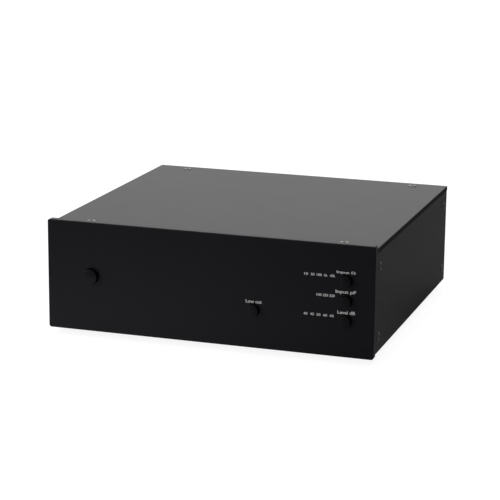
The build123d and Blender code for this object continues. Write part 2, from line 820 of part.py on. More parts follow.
# ---- small sockets ----
def make_trigger_jack(x):
    """A 3.5 mm jack: body on the main board, ferrule through the rear panel."""
    half = trigger_body_width / 2
    body = block(x - half, x + half, rear_y - trigger_body_depth, rear_y,
                 board_top_z, board_top_z + trigger_body_height)
    tip_y = rear_face_y + trigger_ferrule_proud
    body += rod_y(x, jack_z, trigger_ferrule_radius, rear_y, tip_y)
    return body - rod_y(x, jack_z, trigger_bore_radius, tip_y - trigger_bore_depth, tip_y)


def make_dc_inlet():
    half = dc_body_width / 2
    body = block(dc_x - half, dc_x + half, rear_y - dc_body_depth, rear_y,
                 board_top_z, board_top_z + dc_body_height)
    tip_y = rear_face_y + dc_boss_proud
    body += rod_y(dc_x, jack_z, dc_boss_radius, rear_y, tip_y)
    body -= rod_y(dc_x, jack_z, dc_bore_radius, tip_y - dc_bore_depth, tip_y)
    return body - rod_y(dc_x, jack_z, dc_pin_radius - seat_step + thread_gap,
                        tip_y - dc_bore_depth - dc_pin_seat, tip_y - dc_bore_depth)


def make_dc_pin():
    floor_y = rear_face_y + dc_boss_proud - dc_bore_depth
    tip_y = rear_face_y + dc_boss_proud - dc_pin_recess
    return make_pin(dc_x, jack_z, dc_pin_radius, floor_y - dc_pin_seat, floor_y, tip_y)


# ---- ground terminal ----
washer_y = rear_face_y + stud_collar
knob_y = washer_y + washer_thickness
knob_end_y = socket_end_y - knob_end_gap


def make_ground_stud():
    stud = rod_y(ground_x, rear_middle_z, stud_radius, rear_y - stud_inside, socket_end_y)
    return stud + rod_y(ground_x, rear_middle_z, stud_collar_radius, rear_face_y, washer_y)


def make_ground_nut():
    nut = hex_y(ground_x, rear_middle_z, ground_nut_radius, rear_y - ground_nut_height, rear_y)
    return nut - rod_y(ground_x, rear_middle_z, stud_radius + thread_gap, rear_y - ground_nut_height, rear_y)


def make_ground_washer():
    return tube_y(ground_x, rear_middle_z, washer_radius, stud_radius + washer_bore_gap, washer_y, knob_y)


def make_ground_knob():
    """The knurled nut that clamps an earth lead against the washer."""
    knob = tube_y(ground_x, rear_middle_z, knob_radius, stud_radius + knob_bore_gap, knob_y, knob_end_y)
    for i in range(knob_grooves):
        turn = radians(360 / knob_grooves * i)
        knob -= rod_y(ground_x + knob_radius * cos(turn), rear_middle_z + knob_radius * sin(turn),
                      knob_groove_radius, knob_y, knob_end_y)
    return knob


# ---- parts on the main board ----
def row(count, pitch):
    """Centres of a row, spread evenly about the middle."""
    return [(i - (count - 1) / 2) * pitch for i in range(count)]


film_row_y = board_front_y + header_inset + header_width / 2 + row_gap + film_width / 2
capacitor_row_y = film_row_y + film_width / 2 + row_gap + capacitor_radius
chip_row_y = capacitor_row_y + capacitor_radius + row_gap + chip_width / 2
second_capacitor_row_y = chip_row_y + chip_width / 2 + row_gap + capacitor_radius
relay_row_y = second_capacitor_row_y + capacitor_radius + row_gap + relay_width / 2


def make_films():
    return group([block(x - film_length / 2, x + film_length / 2, film_row_y - film_width / 2,
                        film_row_y + film_width / 2, board_top_z, board_top_z + film_height)
                  for x in row(film_columns, film_pitch)])


def make_capacitors():
    """Two rows of electrolytic capacitors, upright."""
    z = board_top_z + capacitor_height / 2
    return group([Pos(x, y, z) * Cylinder(capacitor_radius, capacitor_height)
                  for y in (capacitor_row_y, second_capacitor_row_y)
                  for x in row(capacitor_columns, capacitor_pitch)])


def make_relays():
    return group([block(x - relay_length / 2, x + relay_length / 2, relay_row_y - relay_width / 2,
                        relay_row_y + relay_width / 2, board_top_z, board_top_z + relay_height)
                  for x in row(relay_columns, relay_pitch)])


def make_chips():
    """Eight amplifier chips and the control processor."""
    chips = [block(x - chip_length / 2, x + chip_length / 2, chip_row_y - chip_width / 2,
                   chip_row_y + chip_width / 2, board_top_z, board_top_z + chip_height)
             for x in row(chip_columns, chip_pitch)]
    half = processor_width / 2
    x = processor_margin - board_x
    y = board_front_y + header_inset
    chips.append(block(x - half, x + half, y - half, y + half,
                       board_top_z, board_top_z + processor_height))
    return group(chips)


# ---- all nodes ----
def make_case_nodes():
    return {
        "front_panel": make_front_panel(),
        "top_cover": make_cover(),
        "side_panel_left": make_side(-1),
        "side_panel_right": make_side(1),
        "base_plate": make_base(),
        "rear_panel": make_rear_panel(),
        "corner_brackets": make_brackets(),
        "cover_screws": make_cover_screws(),
        "side_screws": make_side_screws(),
        "base_screws": make_base_screws(),
        "rear_panel_screws": make_rear_screws(),
        "front_panel_screws": make_front_screws(),
        "feet": group([make_foot(x, y) for x, y in foot_places()]),
        "foot_screws": make_foot_screws(),
    }


def make_control_nodes():
    places = button_places()
    nodes = {}
    for name, (x, z, cap_radius) in places.items():
        nodes[name + "_button"] = make_cap(x, z, cap_radius)
        nodes[name + "_plunger"] = make_plunger(x, z)
    small = [place for name, place in places.items() if name != "power"]
    nodes["power_button_guide"] = make_guide(*places["power"])
    nodes["small_button_guides"] = group([make_guide(*place) for place in small])
    nodes["switch_housings"] = group([make_switch(x, z) for x, z, _ in places.values()])
    nodes["light_pipes"] = group([make_light_pipe(x, z) for x, z in indicator_places()])
    nodes["indicator_lamps"] = group([make_lamp(x, z) for x, z in indicator_places()])
    nodes["control_board"] = make_control_board()
    nodes["control_board_standoffs"] = group(
        [make_control_standoff(x, z) for x, z in control_standoff_places()])
    screw = pan_screw(board_thickness, blind_reach)
    nodes["control_board_screws"] = group(
        [facing(x, control_y + board_thickness, z, (0, 1, 0)) * screw for x, z in control_standoff_places()])
    nodes["ribbon_connectors"] = make_headers()
    nodes["ribbon_cable"] = make_ribbon()
    return nodes


def make_board_nodes():
    screw = pan_screw(board_thickness, standoff_engaged)
    return {
        "main_board": make_main_board(),
        "board_standoffs": group([make_main_standoff(x, y) for x, y in main_standoff_places()]),
        "board_screws": group(
            [facing(x, y, board_top_z, (0, 0, 1)) * screw for x, y in main_standoff_places()]),
        "film_capacitors": make_films(),
        "electrolytic_capacitors": make_capacitors(),
        "relays": make_relays(),
        "chips": make_chips(),
    }


def make_socket_nodes():
    left, right = rca_places()
    inputs, outputs = xlr_places()
    return {
        "rca_barrels": group([make_rca_barrel(x, z) for x, z in left + right]),
        "rca_insulators_left": group([make_rca_insulator(x, z) for x, z in left]),
        "rca_insulators_right": group([make_rca_insulator(x, z) for x, z in right]),
        "rca_contacts": group([make_rca_contact(x, z) for x, z in left + right]),
        "rca_housings": group([make_rca_housing(x) for x in (rca_input_x, rca_output_x)]),
        "xlr_input_sockets": group([make_xlr_input(x) for x in inputs]),
        "xlr_input_inserts": group([make_xlr_insert(x) for x in inputs]),
        "xlr_input_contacts": group([tube for x in inputs for tube in make_xlr_contacts(x)]),
        "xlr_output_sockets": group([make_xlr_output(x) for x in outputs]),
        "xlr_output_pins": group([pin for x in outputs for pin in make_xlr_pins(x)]),
        "xlr_screws": make_xlr_screws(),
        "trigger_jacks": group([make_trigger_jack(x) for x in (trigger_x, trigger_x - trigger_pitch)]),
        "dc_inlet": make_dc_inlet(),
        "dc_inlet_pin": make_dc_pin(),
        "ground_stud": make_ground_stud(),
        "ground_nut": make_ground_nut(),
        "ground_washer": make_ground_washer(),
        "ground_knob": make_ground_knob(),
    }


os.makedirs("parts", exist_ok=True)
nodes = {**make_case_nodes(), **make_control_nodes(), **make_board_nodes(), **make_socket_nodes()}
for name, shape in nodes.items():
    export_step(shape, f"parts/{name}.step")
print(len(nodes), "nodes")
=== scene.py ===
import json
import logging
import math
from dataclasses import dataclass
from enum import Enum
from typing import Any

import bpy
from mathutils import Matrix, Vector

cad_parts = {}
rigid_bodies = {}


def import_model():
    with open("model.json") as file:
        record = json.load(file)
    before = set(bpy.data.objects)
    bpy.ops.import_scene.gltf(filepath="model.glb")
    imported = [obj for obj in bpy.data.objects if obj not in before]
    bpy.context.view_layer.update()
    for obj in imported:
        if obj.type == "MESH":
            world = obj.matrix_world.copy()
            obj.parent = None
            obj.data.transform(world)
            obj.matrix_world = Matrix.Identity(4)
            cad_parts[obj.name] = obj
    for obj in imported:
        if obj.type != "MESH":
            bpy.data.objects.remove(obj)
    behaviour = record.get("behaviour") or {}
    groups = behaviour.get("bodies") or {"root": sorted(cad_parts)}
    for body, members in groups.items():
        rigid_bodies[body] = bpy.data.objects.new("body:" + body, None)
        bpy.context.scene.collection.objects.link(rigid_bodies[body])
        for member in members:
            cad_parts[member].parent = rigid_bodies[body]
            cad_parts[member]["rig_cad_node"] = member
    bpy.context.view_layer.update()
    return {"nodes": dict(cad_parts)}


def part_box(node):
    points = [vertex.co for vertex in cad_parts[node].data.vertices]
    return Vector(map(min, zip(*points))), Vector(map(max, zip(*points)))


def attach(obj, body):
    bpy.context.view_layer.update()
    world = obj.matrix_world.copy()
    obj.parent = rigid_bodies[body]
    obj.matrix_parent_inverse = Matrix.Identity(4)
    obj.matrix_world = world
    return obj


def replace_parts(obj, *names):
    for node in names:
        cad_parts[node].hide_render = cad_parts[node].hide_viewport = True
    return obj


# A phono preamplifier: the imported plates, boards and sockets get their finishes, and the pieces with soft
# edges, knurls and print are modelled here. Its lengths are written in millimetres, the studio's in metres.

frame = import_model()
LOG = logging.getLogger("phono_preamp")

MM = 0.001
MERGE = 1e-6  # points closer than this, in metres, become one
SAME = 0.01  # lengths that differ by less than this, in millimetres, count as the same
EDGE_STEPS = 3  # the flats across a rounded edge

Piece = bpy.types.Object
Socket = bpy.types.NodeSocket
Tree = bpy.types.NodeTree
Point = tuple[float, float, float]


# ---- shader tools ----
def linear(shade: str) -> tuple[float, float, float, float]:
    """Turns an sRGB hex colour into linear red, green, blue and alpha.

    Args:
        shade: The colour as six hex digits.

    Returns:
        The linear colour, opaque.
    """
    parts = [int(shade[i:i + 2], 16) / 255 for i in (0, 2, 4)]
    red, green, blue = (c / 12.92 if c <= 0.04045 else ((c + 0.055) / 1.055) ** 2.4 for c in parts)
    return red, green, blue, 1.0


def add_node(tree: Tree, kind: str, settings: dict[str, Any] | None = None,
             inputs: dict[str | int, Any] | None = None) -> bpy.types.Node:
    """Adds a node with its settings, its input values and its links.

    Args:
        tree: The node tree that gets the node.
        kind: The node's type, such as ShaderNodeTexNoise.
        settings: The node's own properties by name.
        inputs: Values or sockets by input name or number; a socket is linked.

    Returns:
        The new node.
    """
    node = tree.nodes.new(kind)
    for name, value in (settings or {}).items():
        setattr(node, name, value)
    for key, value in (inputs or {}).items():
        if isinstance(value, Socket):
            tree.links.new(value, node.inputs[key])
        else:
            node.inputs[key].default_value = value
    return node


def per_metre(size_mm: float) -> float:
    """The texture scale whose features are about the given size."""
    return 1.0 / (size_mm * MM)


@dataclass(frozen=True)
class Finish:
    """What every finish has: two close shades that drift, a gloss, a fine relief, and its slot in the record.

    A pattern's detail is how many times it repeats inside itself at half the size.
    """

    name: str
    shade: str
    fleck: str
    roughness: float
    metallic: float = 0.0
    specular: float = 0.5
    drift_mm: float = 25.0
    drift_detail: float = 3.0
    grain_mm: float = 0.7
    grain_detail: float = 4.0
    relief_mm: float = 0.01
    gloss_drift: float = 0.06
    smears_to_drift: float = 3.0
    smear_detail: float = 2.0
    smoothest: float = 0.02
    slot: str = ""

    def place(self, tree: Tree) -> Socket:
        """Where a point lies on the object, which is what the patterns follow."""
        return add_node(tree, "ShaderNodeTexCoord").outputs["Object"]

    def colour(self, tree: Tree, place: Socket) -> Socket:
        """The shade at a point.

        Args:
            tree: The material's nodes.
            place: The point's coordinates.

        Returns:
            The colour socket.
        """
        drift = add_node(tree, "ShaderNodeTexNoise", None, {
            "Vector": place, "Scale": per_metre(self.drift_mm), "Detail": self.drift_detail})
        blend = add_node(tree, "ShaderNodeMix", {"data_type": "RGBA"}, {
            "Factor": drift.outputs["Fac"], "A": linear(self.shade), "B": linear(self.fleck)})
        return blend.outputs["Result"]

    def height(self, tree: Tree, place: Socket) -> Socket:
        """The relief at a point, from 0 to 1.

        Args:
            tree: The material's nodes.
            place: The point's coordinates.

        Returns:
            The height socket.
        """
        grain = add_node(tree, "ShaderNodeTexNoise", None, {
            "Vector": place, "Scale": per_metre(self.grain_mm), "Detail": self.grain_detail})
        return grain.outputs["Fac"]

    def gloss(self, tree: Tree, place: Socket) -> Socket:
        """The roughness at a point.

        Args:
            tree: The material's nodes.
            place: The point's coordinates.

        Returns:
            The roughness socket.
        """
        smear = add_node(tree, "ShaderNodeTexNoise", None, {
            "Vector": place, "Scale": per_metre(self.drift_mm / self.smears_to_drift),
            "Detail": self.smear_detail})
        spread = add_node(tree, "ShaderNodeMapRange", None, {
            "Value": smear.outputs["Fac"],
            "To Min": max(self.smoothest, self.roughness - self.gloss_drift),
            "To Max": min(1.0, self.roughness + self.gloss_drift)})
        return spread.outputs["Result"]

    def material(self) -> bpy.types.Material:
        """Builds the finish's material, once for each name.

        Returns:
            The material.
        """
        if self.name in bpy.data.materials:
            return bpy.data.materials[self.name]
        material = bpy.data.materials.new(self.name)
        material.use_nodes = True
        tree = material.node_tree
        tree.nodes.clear()
        place = self.place(tree)
        bump = add_node(tree, "ShaderNodeBump", None, {
            "Height": self.height(tree, place), "Distance": self.relief_mm * MM, "Strength": 1.0})
        shader = add_node(tree, "ShaderNodeBsdfPrincipled", None, {
            "Base Color": self.colour(tree, place), "Roughness": self.gloss(tree, place),
            "Metallic": self.metallic, "Specular IOR Level": self.specular,
            "Normal": bump.outputs["Normal"]})
        add_node(tree, "ShaderNodeOutputMaterial", None, {"Surface": shader.outputs["BSDF"]})
        return material


@dataclass(frozen=True)
class BlastedAnodising(Finish):
    """Bead-blasted aluminium, anodised black: an even, deep satin black that greys at a glance along it."""

    name: str = "black_anodised_aluminium"
    shade: str = "1a1a1d"
    fleck: str = "1e1e21"
    roughness: float = 0.42
    specular: float = 0.16
    drift_mm: float = 45.0
    # the blasting's pits are under 0.1 mm; they are drawn at half a millimetre so that they show
    grain_mm: float = 0.5
    relief_mm: float = 0.004
    gloss_drift: float = 0.012
    slot: str = "black_anodised"


@dataclass(frozen=True)
class SideShadedAnodising(BlastedAnodising):
    """The same anodising, with a painted shade that darkens the faces looking across one axis.

    A face looks across the axis where at most a set share of its unit normal runs along it. Those faces
    may also get a roughness of their own.
    """

    side_axis: str = "Z"
    side_most: float = 0.5
    # the colour of the painted shade on the faces across the axis
    painted_side_shade: str = "0f0f11"
    side_roughness: float | None = None

    def cut(self, tree: Tree) -> Socket:
        """Finds the faces that look across the axis, which get the painted shade.

        Args:
            tree: The material's nodes.

        Returns:
            A socket that is 1 on those faces and 0 on the others.
        """
        facing = add_node(tree, "ShaderNodeTexCoord").outputs["Normal"]
        parts = add_node(tree, "ShaderNodeSeparateXYZ", None, {"Vector": facing})
        along = add_node(tree, "ShaderNodeMath", {"operation": "ABSOLUTE"}, {0: parts.outputs[self.side_axis]})
        across = add_node(tree, "ShaderNodeMath", {"operation": "LESS_THAN"}, {
            0: along.outputs["Value"], 1: self.side_most})
        return across.outputs["Value"]

    def colour(self, tree: Tree, place: Socket) -> Socket:
        """The shade at a point, with the faces across the axis drawn darker as a painted shade.

        Args:
            tree: The material's nodes.
            place: The point's coordinates.

        Returns:
            The colour socket.
        """
        # painted shade: the faces across the axis take the darker colour
        blend = add_node(tree, "ShaderNodeMix", {"data_type": "RGBA"}, {
            "Factor": self.cut(tree), "A": super().colour(tree, place), "B": linear(self.painted_side_shade)})
        return blend.outputs["Result"]

    def gloss(self, tree: Tree, place: Socket) -> Socket:
        """The roughness at a point, which may be another one on the faces across the axis.

        Args:
            tree: The material's nodes.
            place: The point's coordinates.

        Returns:
            The roughness socket.
        """
        if self.side_roughness is None:
            return super().gloss(tree, place)
        blend = add_node(tree, "ShaderNodeMix", {"data_type": "FLOAT"}, {
            "Factor": self.cut(tree), "A": super().gloss(tree, place), "B": self.side_roughness})
        return blend.outputs["Result"]


@dataclass(frozen=True)
class StainlessSteel(Finish):
    """Turned stainless steel: bright grey, with turning marks that blur its highlights."""

    name: str = "turned_stainless_steel"
    shade: str = "b4b4b2"
    fleck: str = "9c9d9e"
    roughness: float = 0.4
    metallic: float = 1.0
    drift_mm: float = 4.0
    # the marks are under 0.1 mm apart; they are drawn as an even, coarser grain so that they show
    grain_mm: float = 0.25
    relief_mm: float = 0.006
    slot: str = "stainless_steel"


@dataclass(frozen=True)
class BlackOxide(Finish):
    """Chemically blackened steel: near black with an oily sheen and a brown tinge."""

    name: str = "black_oxide_steel"
    shade: str = "1b1a1a"
    fleck: str = "262423"
    roughness: float = 0.38
    metallic: float = 0.6
    drift_mm: float = 5.0
    grain_mm: float = 0.4
    slot: str = "black_steel"


@dataclass(frozen=True)
class MillAluminium(Finish):
    """Bent sheet aluminium as rolled: pale grey with a faint grain."""

    name: str = "mill_aluminium"
    shade: str = "b9bbbc"
    fleck: str = "a3a6a8"
    roughness: float = 0.45
    metallic: float = 1.0
    drift_mm: float = 8.0
    slot: str = "plain_aluminium"


@dataclass(frozen=True)
class NickelPlate(Finish):
    """Nickel-plated brass: a warm, bright grey."""

    name: str = "nickel_plate"
    shade: str = "c8c2b6"
    fleck: str = "b5afa3"
    roughness: float = 0.22
    metallic: float = 1.0
    drift_mm: float = 5.0
    grain_mm: float = 0.3
    slot: str = "nickel_brass"


@dataclass(frozen=True)
class GoldPlate(Finish):
    """Flash gold over nickel on turned brass: a pale yellow with soft turning marks."""

    name: str = "flash_gold_plate"
    shade: str = "e0b765"
    fleck: str = "cfa04c"
    roughness: float = 0.2
    metallic: float = 1.0
    drift_mm: float = 3.0
    # drawn coarser than they are, as on the steel
    grain_mm: float = 0.3
    relief_mm: float = 0.006
    slot: str = "gold_plate"


@dataclass(frozen=True)
class MouldedAbs(Finish):
    """ABS moulded in a spark-eroded tool: a dull skin of fine bumps."""

    name: str = "black_abs"
    shade: str = "1a1a1b"
    fleck: str = "202021"
    roughness: float = 0.48
    specular: float = 0.4
    drift_mm: float = 12.0
    grain_mm: float = 0.35
    relief_mm: float = 0.02
    slot: str = "black_plastic"


@dataclass(frozen=True)
class GlossAbs(MouldedAbs):
    """ABS moulded in a polished tool, as the sockets' coloured rings are."""

    name: str = "white_abs"
    shade: str = "e4e2dc"
    fleck: str = "d6d3cb"
    roughness: float = 0.28
    specular: float = 0.5
    relief_mm: float = 0.004
    slot: str = "white_plastic"


@dataclass(frozen=True)
class NitrileRubber(Finish):
    """Moulded nitrile rubber: a soft, dusty black."""

    name: str = "nitrile_rubber"
    shade: str = "181818"
    fleck: str = "222120"
    roughness: float = 0.85
    specular: float = 0.25
    drift_mm: float = 7.0
    grain_mm: float = 0.5
    relief_mm: float = 0.04
    slot: str = "black_rubber"


@dataclass(frozen=True)
class SolderResist(Finish):
    """Green solder resist over copper: glossy, with the tracks standing a little proud and paler."""

    name: str = "green_solder_resist"
    shade: str = "0d3a22"
    fleck: str = "1b5c38"
    roughness: float = 0.3
    track_mm: float = 3.0
    track_core: float = 0.1
    track_fade: float = 0.16
    relief_mm: float = 0.035
    slot: str = "circuit_board"

    def tracks(self, tree: Tree, place: Socket) -> Socket:
        """Where copper runs under the resist: along the edges of cells as wide as the tracks' spacing.

        Args:
            tree: The material's nodes.
            place: The point's coordinates.

        Returns:
            A socket that is 1 on a track and 0 off it.
        """
        cells = add_node(tree, "ShaderNodeTexVoronoi", {"feature": "DISTANCE_TO_EDGE"}, {
            "Vector": place, "Scale": per_metre(self.track_mm)})
        edge = add_node(tree, "ShaderNodeMapRange", None, {
            "Value": cells.outputs["Distance"], "From Min": self.track_fade, "From Max": self.track_core})
        return edge.outputs["Result"]

    def colour(self, tree: Tree, place: Socket) -> Socket:
        """The resist's shade at a point, paler over the tracks.

        Args:
            tree: The material's nodes.
            place: The point's coordinates.

        Returns:
            The colour socket.
        """
        blend = add_node(tree, "ShaderNodeMix", {"data_type": "RGBA"}, {
            "Factor": self.tracks(tree, place), "A": linear(self.shade), "B": linear(self.fleck)})
        return blend.outputs["Result"]

    def height(self, tree: Tree, place: Socket) -> Socket:
        """The relief: the tracks stand proud."""
        return self.tracks(tree, place)


@dataclass(frozen=True)
class RibbonPvc(Finish):
    """Flat cable in grey PVC: dull, with its rounded cores side by side.

    A wave texture of scale 1 turns through the given number of radians in a metre.
    """

    name: str = "grey_ribbon_pvc"
    shade: str = "8b8d8f"
    fleck: str = "a4a5a6"
    roughness: float = 0.5
    core_mm: float = 1.27
    wave_radians: float = 20.0
    relief_mm: float = 0.3
    slot: str = "grey_ribbon"

    def height(self, tree: Tree, place: Socket) -> Socket:
        """The relief at a point: one round ridge to each core.

        Args:
            tree: The material's nodes.
            place: The point's coordinates.

        Returns:
            The height socket.
        """
        cores = add_node(tree, "ShaderNodeTexWave", {"bands_direction": "X"}, {
            "Vector": place, "Scale": per_metre(self.core_mm) / self.wave_radians * math.tau,
            "Distortion": 0.0})
        return cores.outputs["Fac"]


@dataclass(frozen=True)
class SmokedAcrylic(Finish):
    """Smoked acrylic light pipes, cut dull at the end: unlit, they all but vanish in the panel."""

    name: str = "smoked_acrylic_end"
    shade: str = "0e0e12"
    fleck: str = "121216"
    roughness: float = 0.42
    specular: float = 0.16
    relief_mm: float = 0.002
    slot: str = "smoked_acrylic"


@dataclass(frozen=True)
class ScreenInk(Finish):
    """Screen-printed white ink: flat, very slightly uneven in thickness."""

    name: str = "white_screen_ink"
    shade: str = "f0f0ee"
    fleck: str = "dcdcda"
    roughness: float = 0.6
    specular: float = 0.3
    drift_mm: float = 0.8
    grain_mm: float = 0.2
    relief_mm: float = 0.004


ANODISED = BlastedAnodising()
# the front plate: the same anodising, drawn a deeper black than the other plates as a painted shade, and
# bluer
FRONT = BlastedAnodising(name="black_anodised_front", shade="0f0f15", fleck="131319")
# the cover: its upright edges are rougher than its blasted face, and drawn darker as a painted shade along
# the top's edge
COVER = SideShadedAnodising(name="black_anodised_cover", shade="1b1b1a", fleck="1f1f1e", side_roughness=0.75)
# a turned cap: a smoother face whose rim catches light, and its wall, which runs along Y, drawn almost black
# as a painted shade for the shadowed gap round it
CAP = SideShadedAnodising(name="black_anodised_cap", shade="0b0b0f", fleck="0e0e13", roughness=0.36, specular=0.14,
                   drift_mm=6.0, side_axis="Y", side_most=0.4, painted_side_shade="050505", slot="black_button")
STEEL = StainlessSteel()
OXIDE = BlackOxide()
# blackened steel drawn greyer and more metallic than the plain one: a painted highlight, so that the screw
# heads stand out light from the plates round them
HIGHLIT_OXIDE = BlackOxide(name="worn_black_oxide_steel", shade="504e4c", fleck="605e5b", metallic=0.9,
                        roughness=0.3)
MILL = MillAluminium()
NICKEL = NickelPlate()
GOLD = GoldPlate()
ABS = MouldedAbs()
# ABS dyed grey: the same dull skin
GREY_ABS = MouldedAbs(name="grey_abs", shade="3c3c3d", fleck="444445", slot="grey_plastic")
WHITE_ABS = GlossAbs()
# ABS dyed red: the same polished skin
RED_ABS = GlossAbs(name="red_abs", shade="9c1a16", fleck="871411", slot="red_plastic")
# PET film shrunk round a capacitor: a glossy blue-black
SLEEVE = GlossAbs(name="black_pet_sleeve", shade="17171d", fleck="1f1f27", slot="black_sleeve")
RUBBER = NitrileRubber()
RESIST = SolderResist()
RIBBON = RibbonPvc()
ACRYLIC = SmokedAcrylic()
# epoxy clouded so that it spreads light: a glossy, creamy white
LAMP = GlossAbs(name="milky_epoxy", shade="d8d8cc", fleck="cfcfc0", slot="white_lamp")
INK = ScreenInk()


# ---- modelling tools ----
def deselect() -> None:
    """Leaves edit mode and deselects everything."""
    if bpy.context.object and bpy.context.object.mode != "OBJECT":
        bpy.ops.object.mode_set(mode="OBJECT")
    bpy.ops.object.select_all(action="DESELECT")


def pick(piece: Piece) -> None:
    """Makes a piece the only selected and active object.

    Args:
        piece: The piece.
    """
    deselect()
    piece.select_set(True)
    bpy.context.view_layer.objects.active = piece


def settle(piece: Piece, name: str, finish: Finish) -> Piece:
    """Ends a new piece: its place goes into its mesh, and it gets its name and its finish.

    Args:
        piece: The object, in object mode.
        name: The piece's name.
        finish: Its finish.

    Returns:
        The same object.
    """
    pick(piece)
    bpy.ops.object.transform_apply(location=True, rotation=True, scale=True)
    piece.name = name
    piece.data.name = name
    piece.data.materials.clear()
    piece.data.materials.append(finish.material())
    return piece


def dress(finish: Finish, *nodes: str) -> list[str]:
    """Gives CAD nodes a finish.

    Args:
        finish: The finish.
        nodes: The nodes' names.

    Returns:
        The nodes' names.
    """
    for node in nodes:
        piece = frame["nodes"][node]
        piece.data.materials.clear()
        piece.data.materials.append(finish.material())
    return list(nodes)


def stand_in(piece: Piece, body: str, node: str) -> Piece:
    """Makes a finished piece ride a body and stand for a CAD node, or for its share of one."""
    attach(piece, body)
    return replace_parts(piece, node)


@dataclass
class SoftMoulding:
    """A copy of a CAD node on the rear panel, with soft edges round its outer face.

    Turns are in degrees. Faces that turn less than flat_turn become one, and edges that turn more than
    sharp_turn are rounded. The smoothing's turn is finer than the rounded edges' own flats, so that the flat
    faces beside them stay flat.
    """

    node: str
    width: float
    flat_turn: float = 1.0
    sharp_turn: float = 40.0
    smooth_turn: float = 20.0

    def build(self, finish: Finish) -> Piece:
        """Makes the copy, softens it and puts it in its node's place.

        Args:
            finish: The copy's finish.

        Returns:
            The copy.
        """
        pick(frame["nodes"][self.node])
        bpy.ops.object.duplicate(linked=False)
        copy = bpy.context.object
        del copy["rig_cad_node"]
        bpy.ops.mesh.customdata_custom_splitnormals_clear()
        bpy.ops.object.mode_set(mode="EDIT")
        bpy.ops.mesh.select_mode(type="EDGE")
        bpy.ops.mesh.select_all(action="SELECT")
        bpy.ops.mesh.remove_doubles(threshold=MERGE)
        bpy.ops.mesh.mark_sharp(clear=True)
        bpy.ops.mesh.dissolve_limited(angle_limit=math.radians(self.flat_turn))
        bpy.ops.mesh.select_all(action="DESELECT")
        bpy.ops.mesh.edges_select_sharp(sharpness=math.radians(self.sharp_turn))
        bpy.ops.object.mode_set(mode="OBJECT")
        self.keep_outer(copy)
        bpy.ops.object.mode_set(mode="EDIT")
        bpy.ops.mesh.bevel(offset=self.width * MM, segments=EDGE_STEPS, affect="EDGES")
        bpy.ops.object.mode_set(mode="OBJECT")
        settle(copy, f"{self.node}_softened", finish)
        bpy.ops.object.shade_smooth_by_angle(angle=math.radians(self.smooth_turn))
        return stand_in(copy, "case", self.node)

    def keep_outer(self, copy: Piece) -> None:
        """Leaves only those of the selected edges selected that lie on the outer face.

        Args:
            copy: The copy, in object mode.
        """
        face_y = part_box(self.node)[1].y - SAME * MM
        mesh = copy.data
        outer = [edge.select and all(mesh.vertices[i].co.y > face_y for i in edge.vertices)
                 for edge in mesh.edges]
        for items in (mesh.vertices, mesh.polygons):
            items.foreach_set("select", [False] * len(items))
        mesh.edges.foreach_set("select", outer)


class Spindle(Enum):
    """Which way a turned piece's axis runs, with the turn that lays a flat ring across it."""

    ALONG_X = ((1.0, 0.0, 0.0), (0.0, math.pi / 2, 0.0))
    ALONG_Y = ((0.0, 1.0, 0.0), (-math.pi / 2, 0.0, 0.0))
    ALONG_Z = ((0.0, 0.0, 1.0), (0.0, 0.0, 0.0))


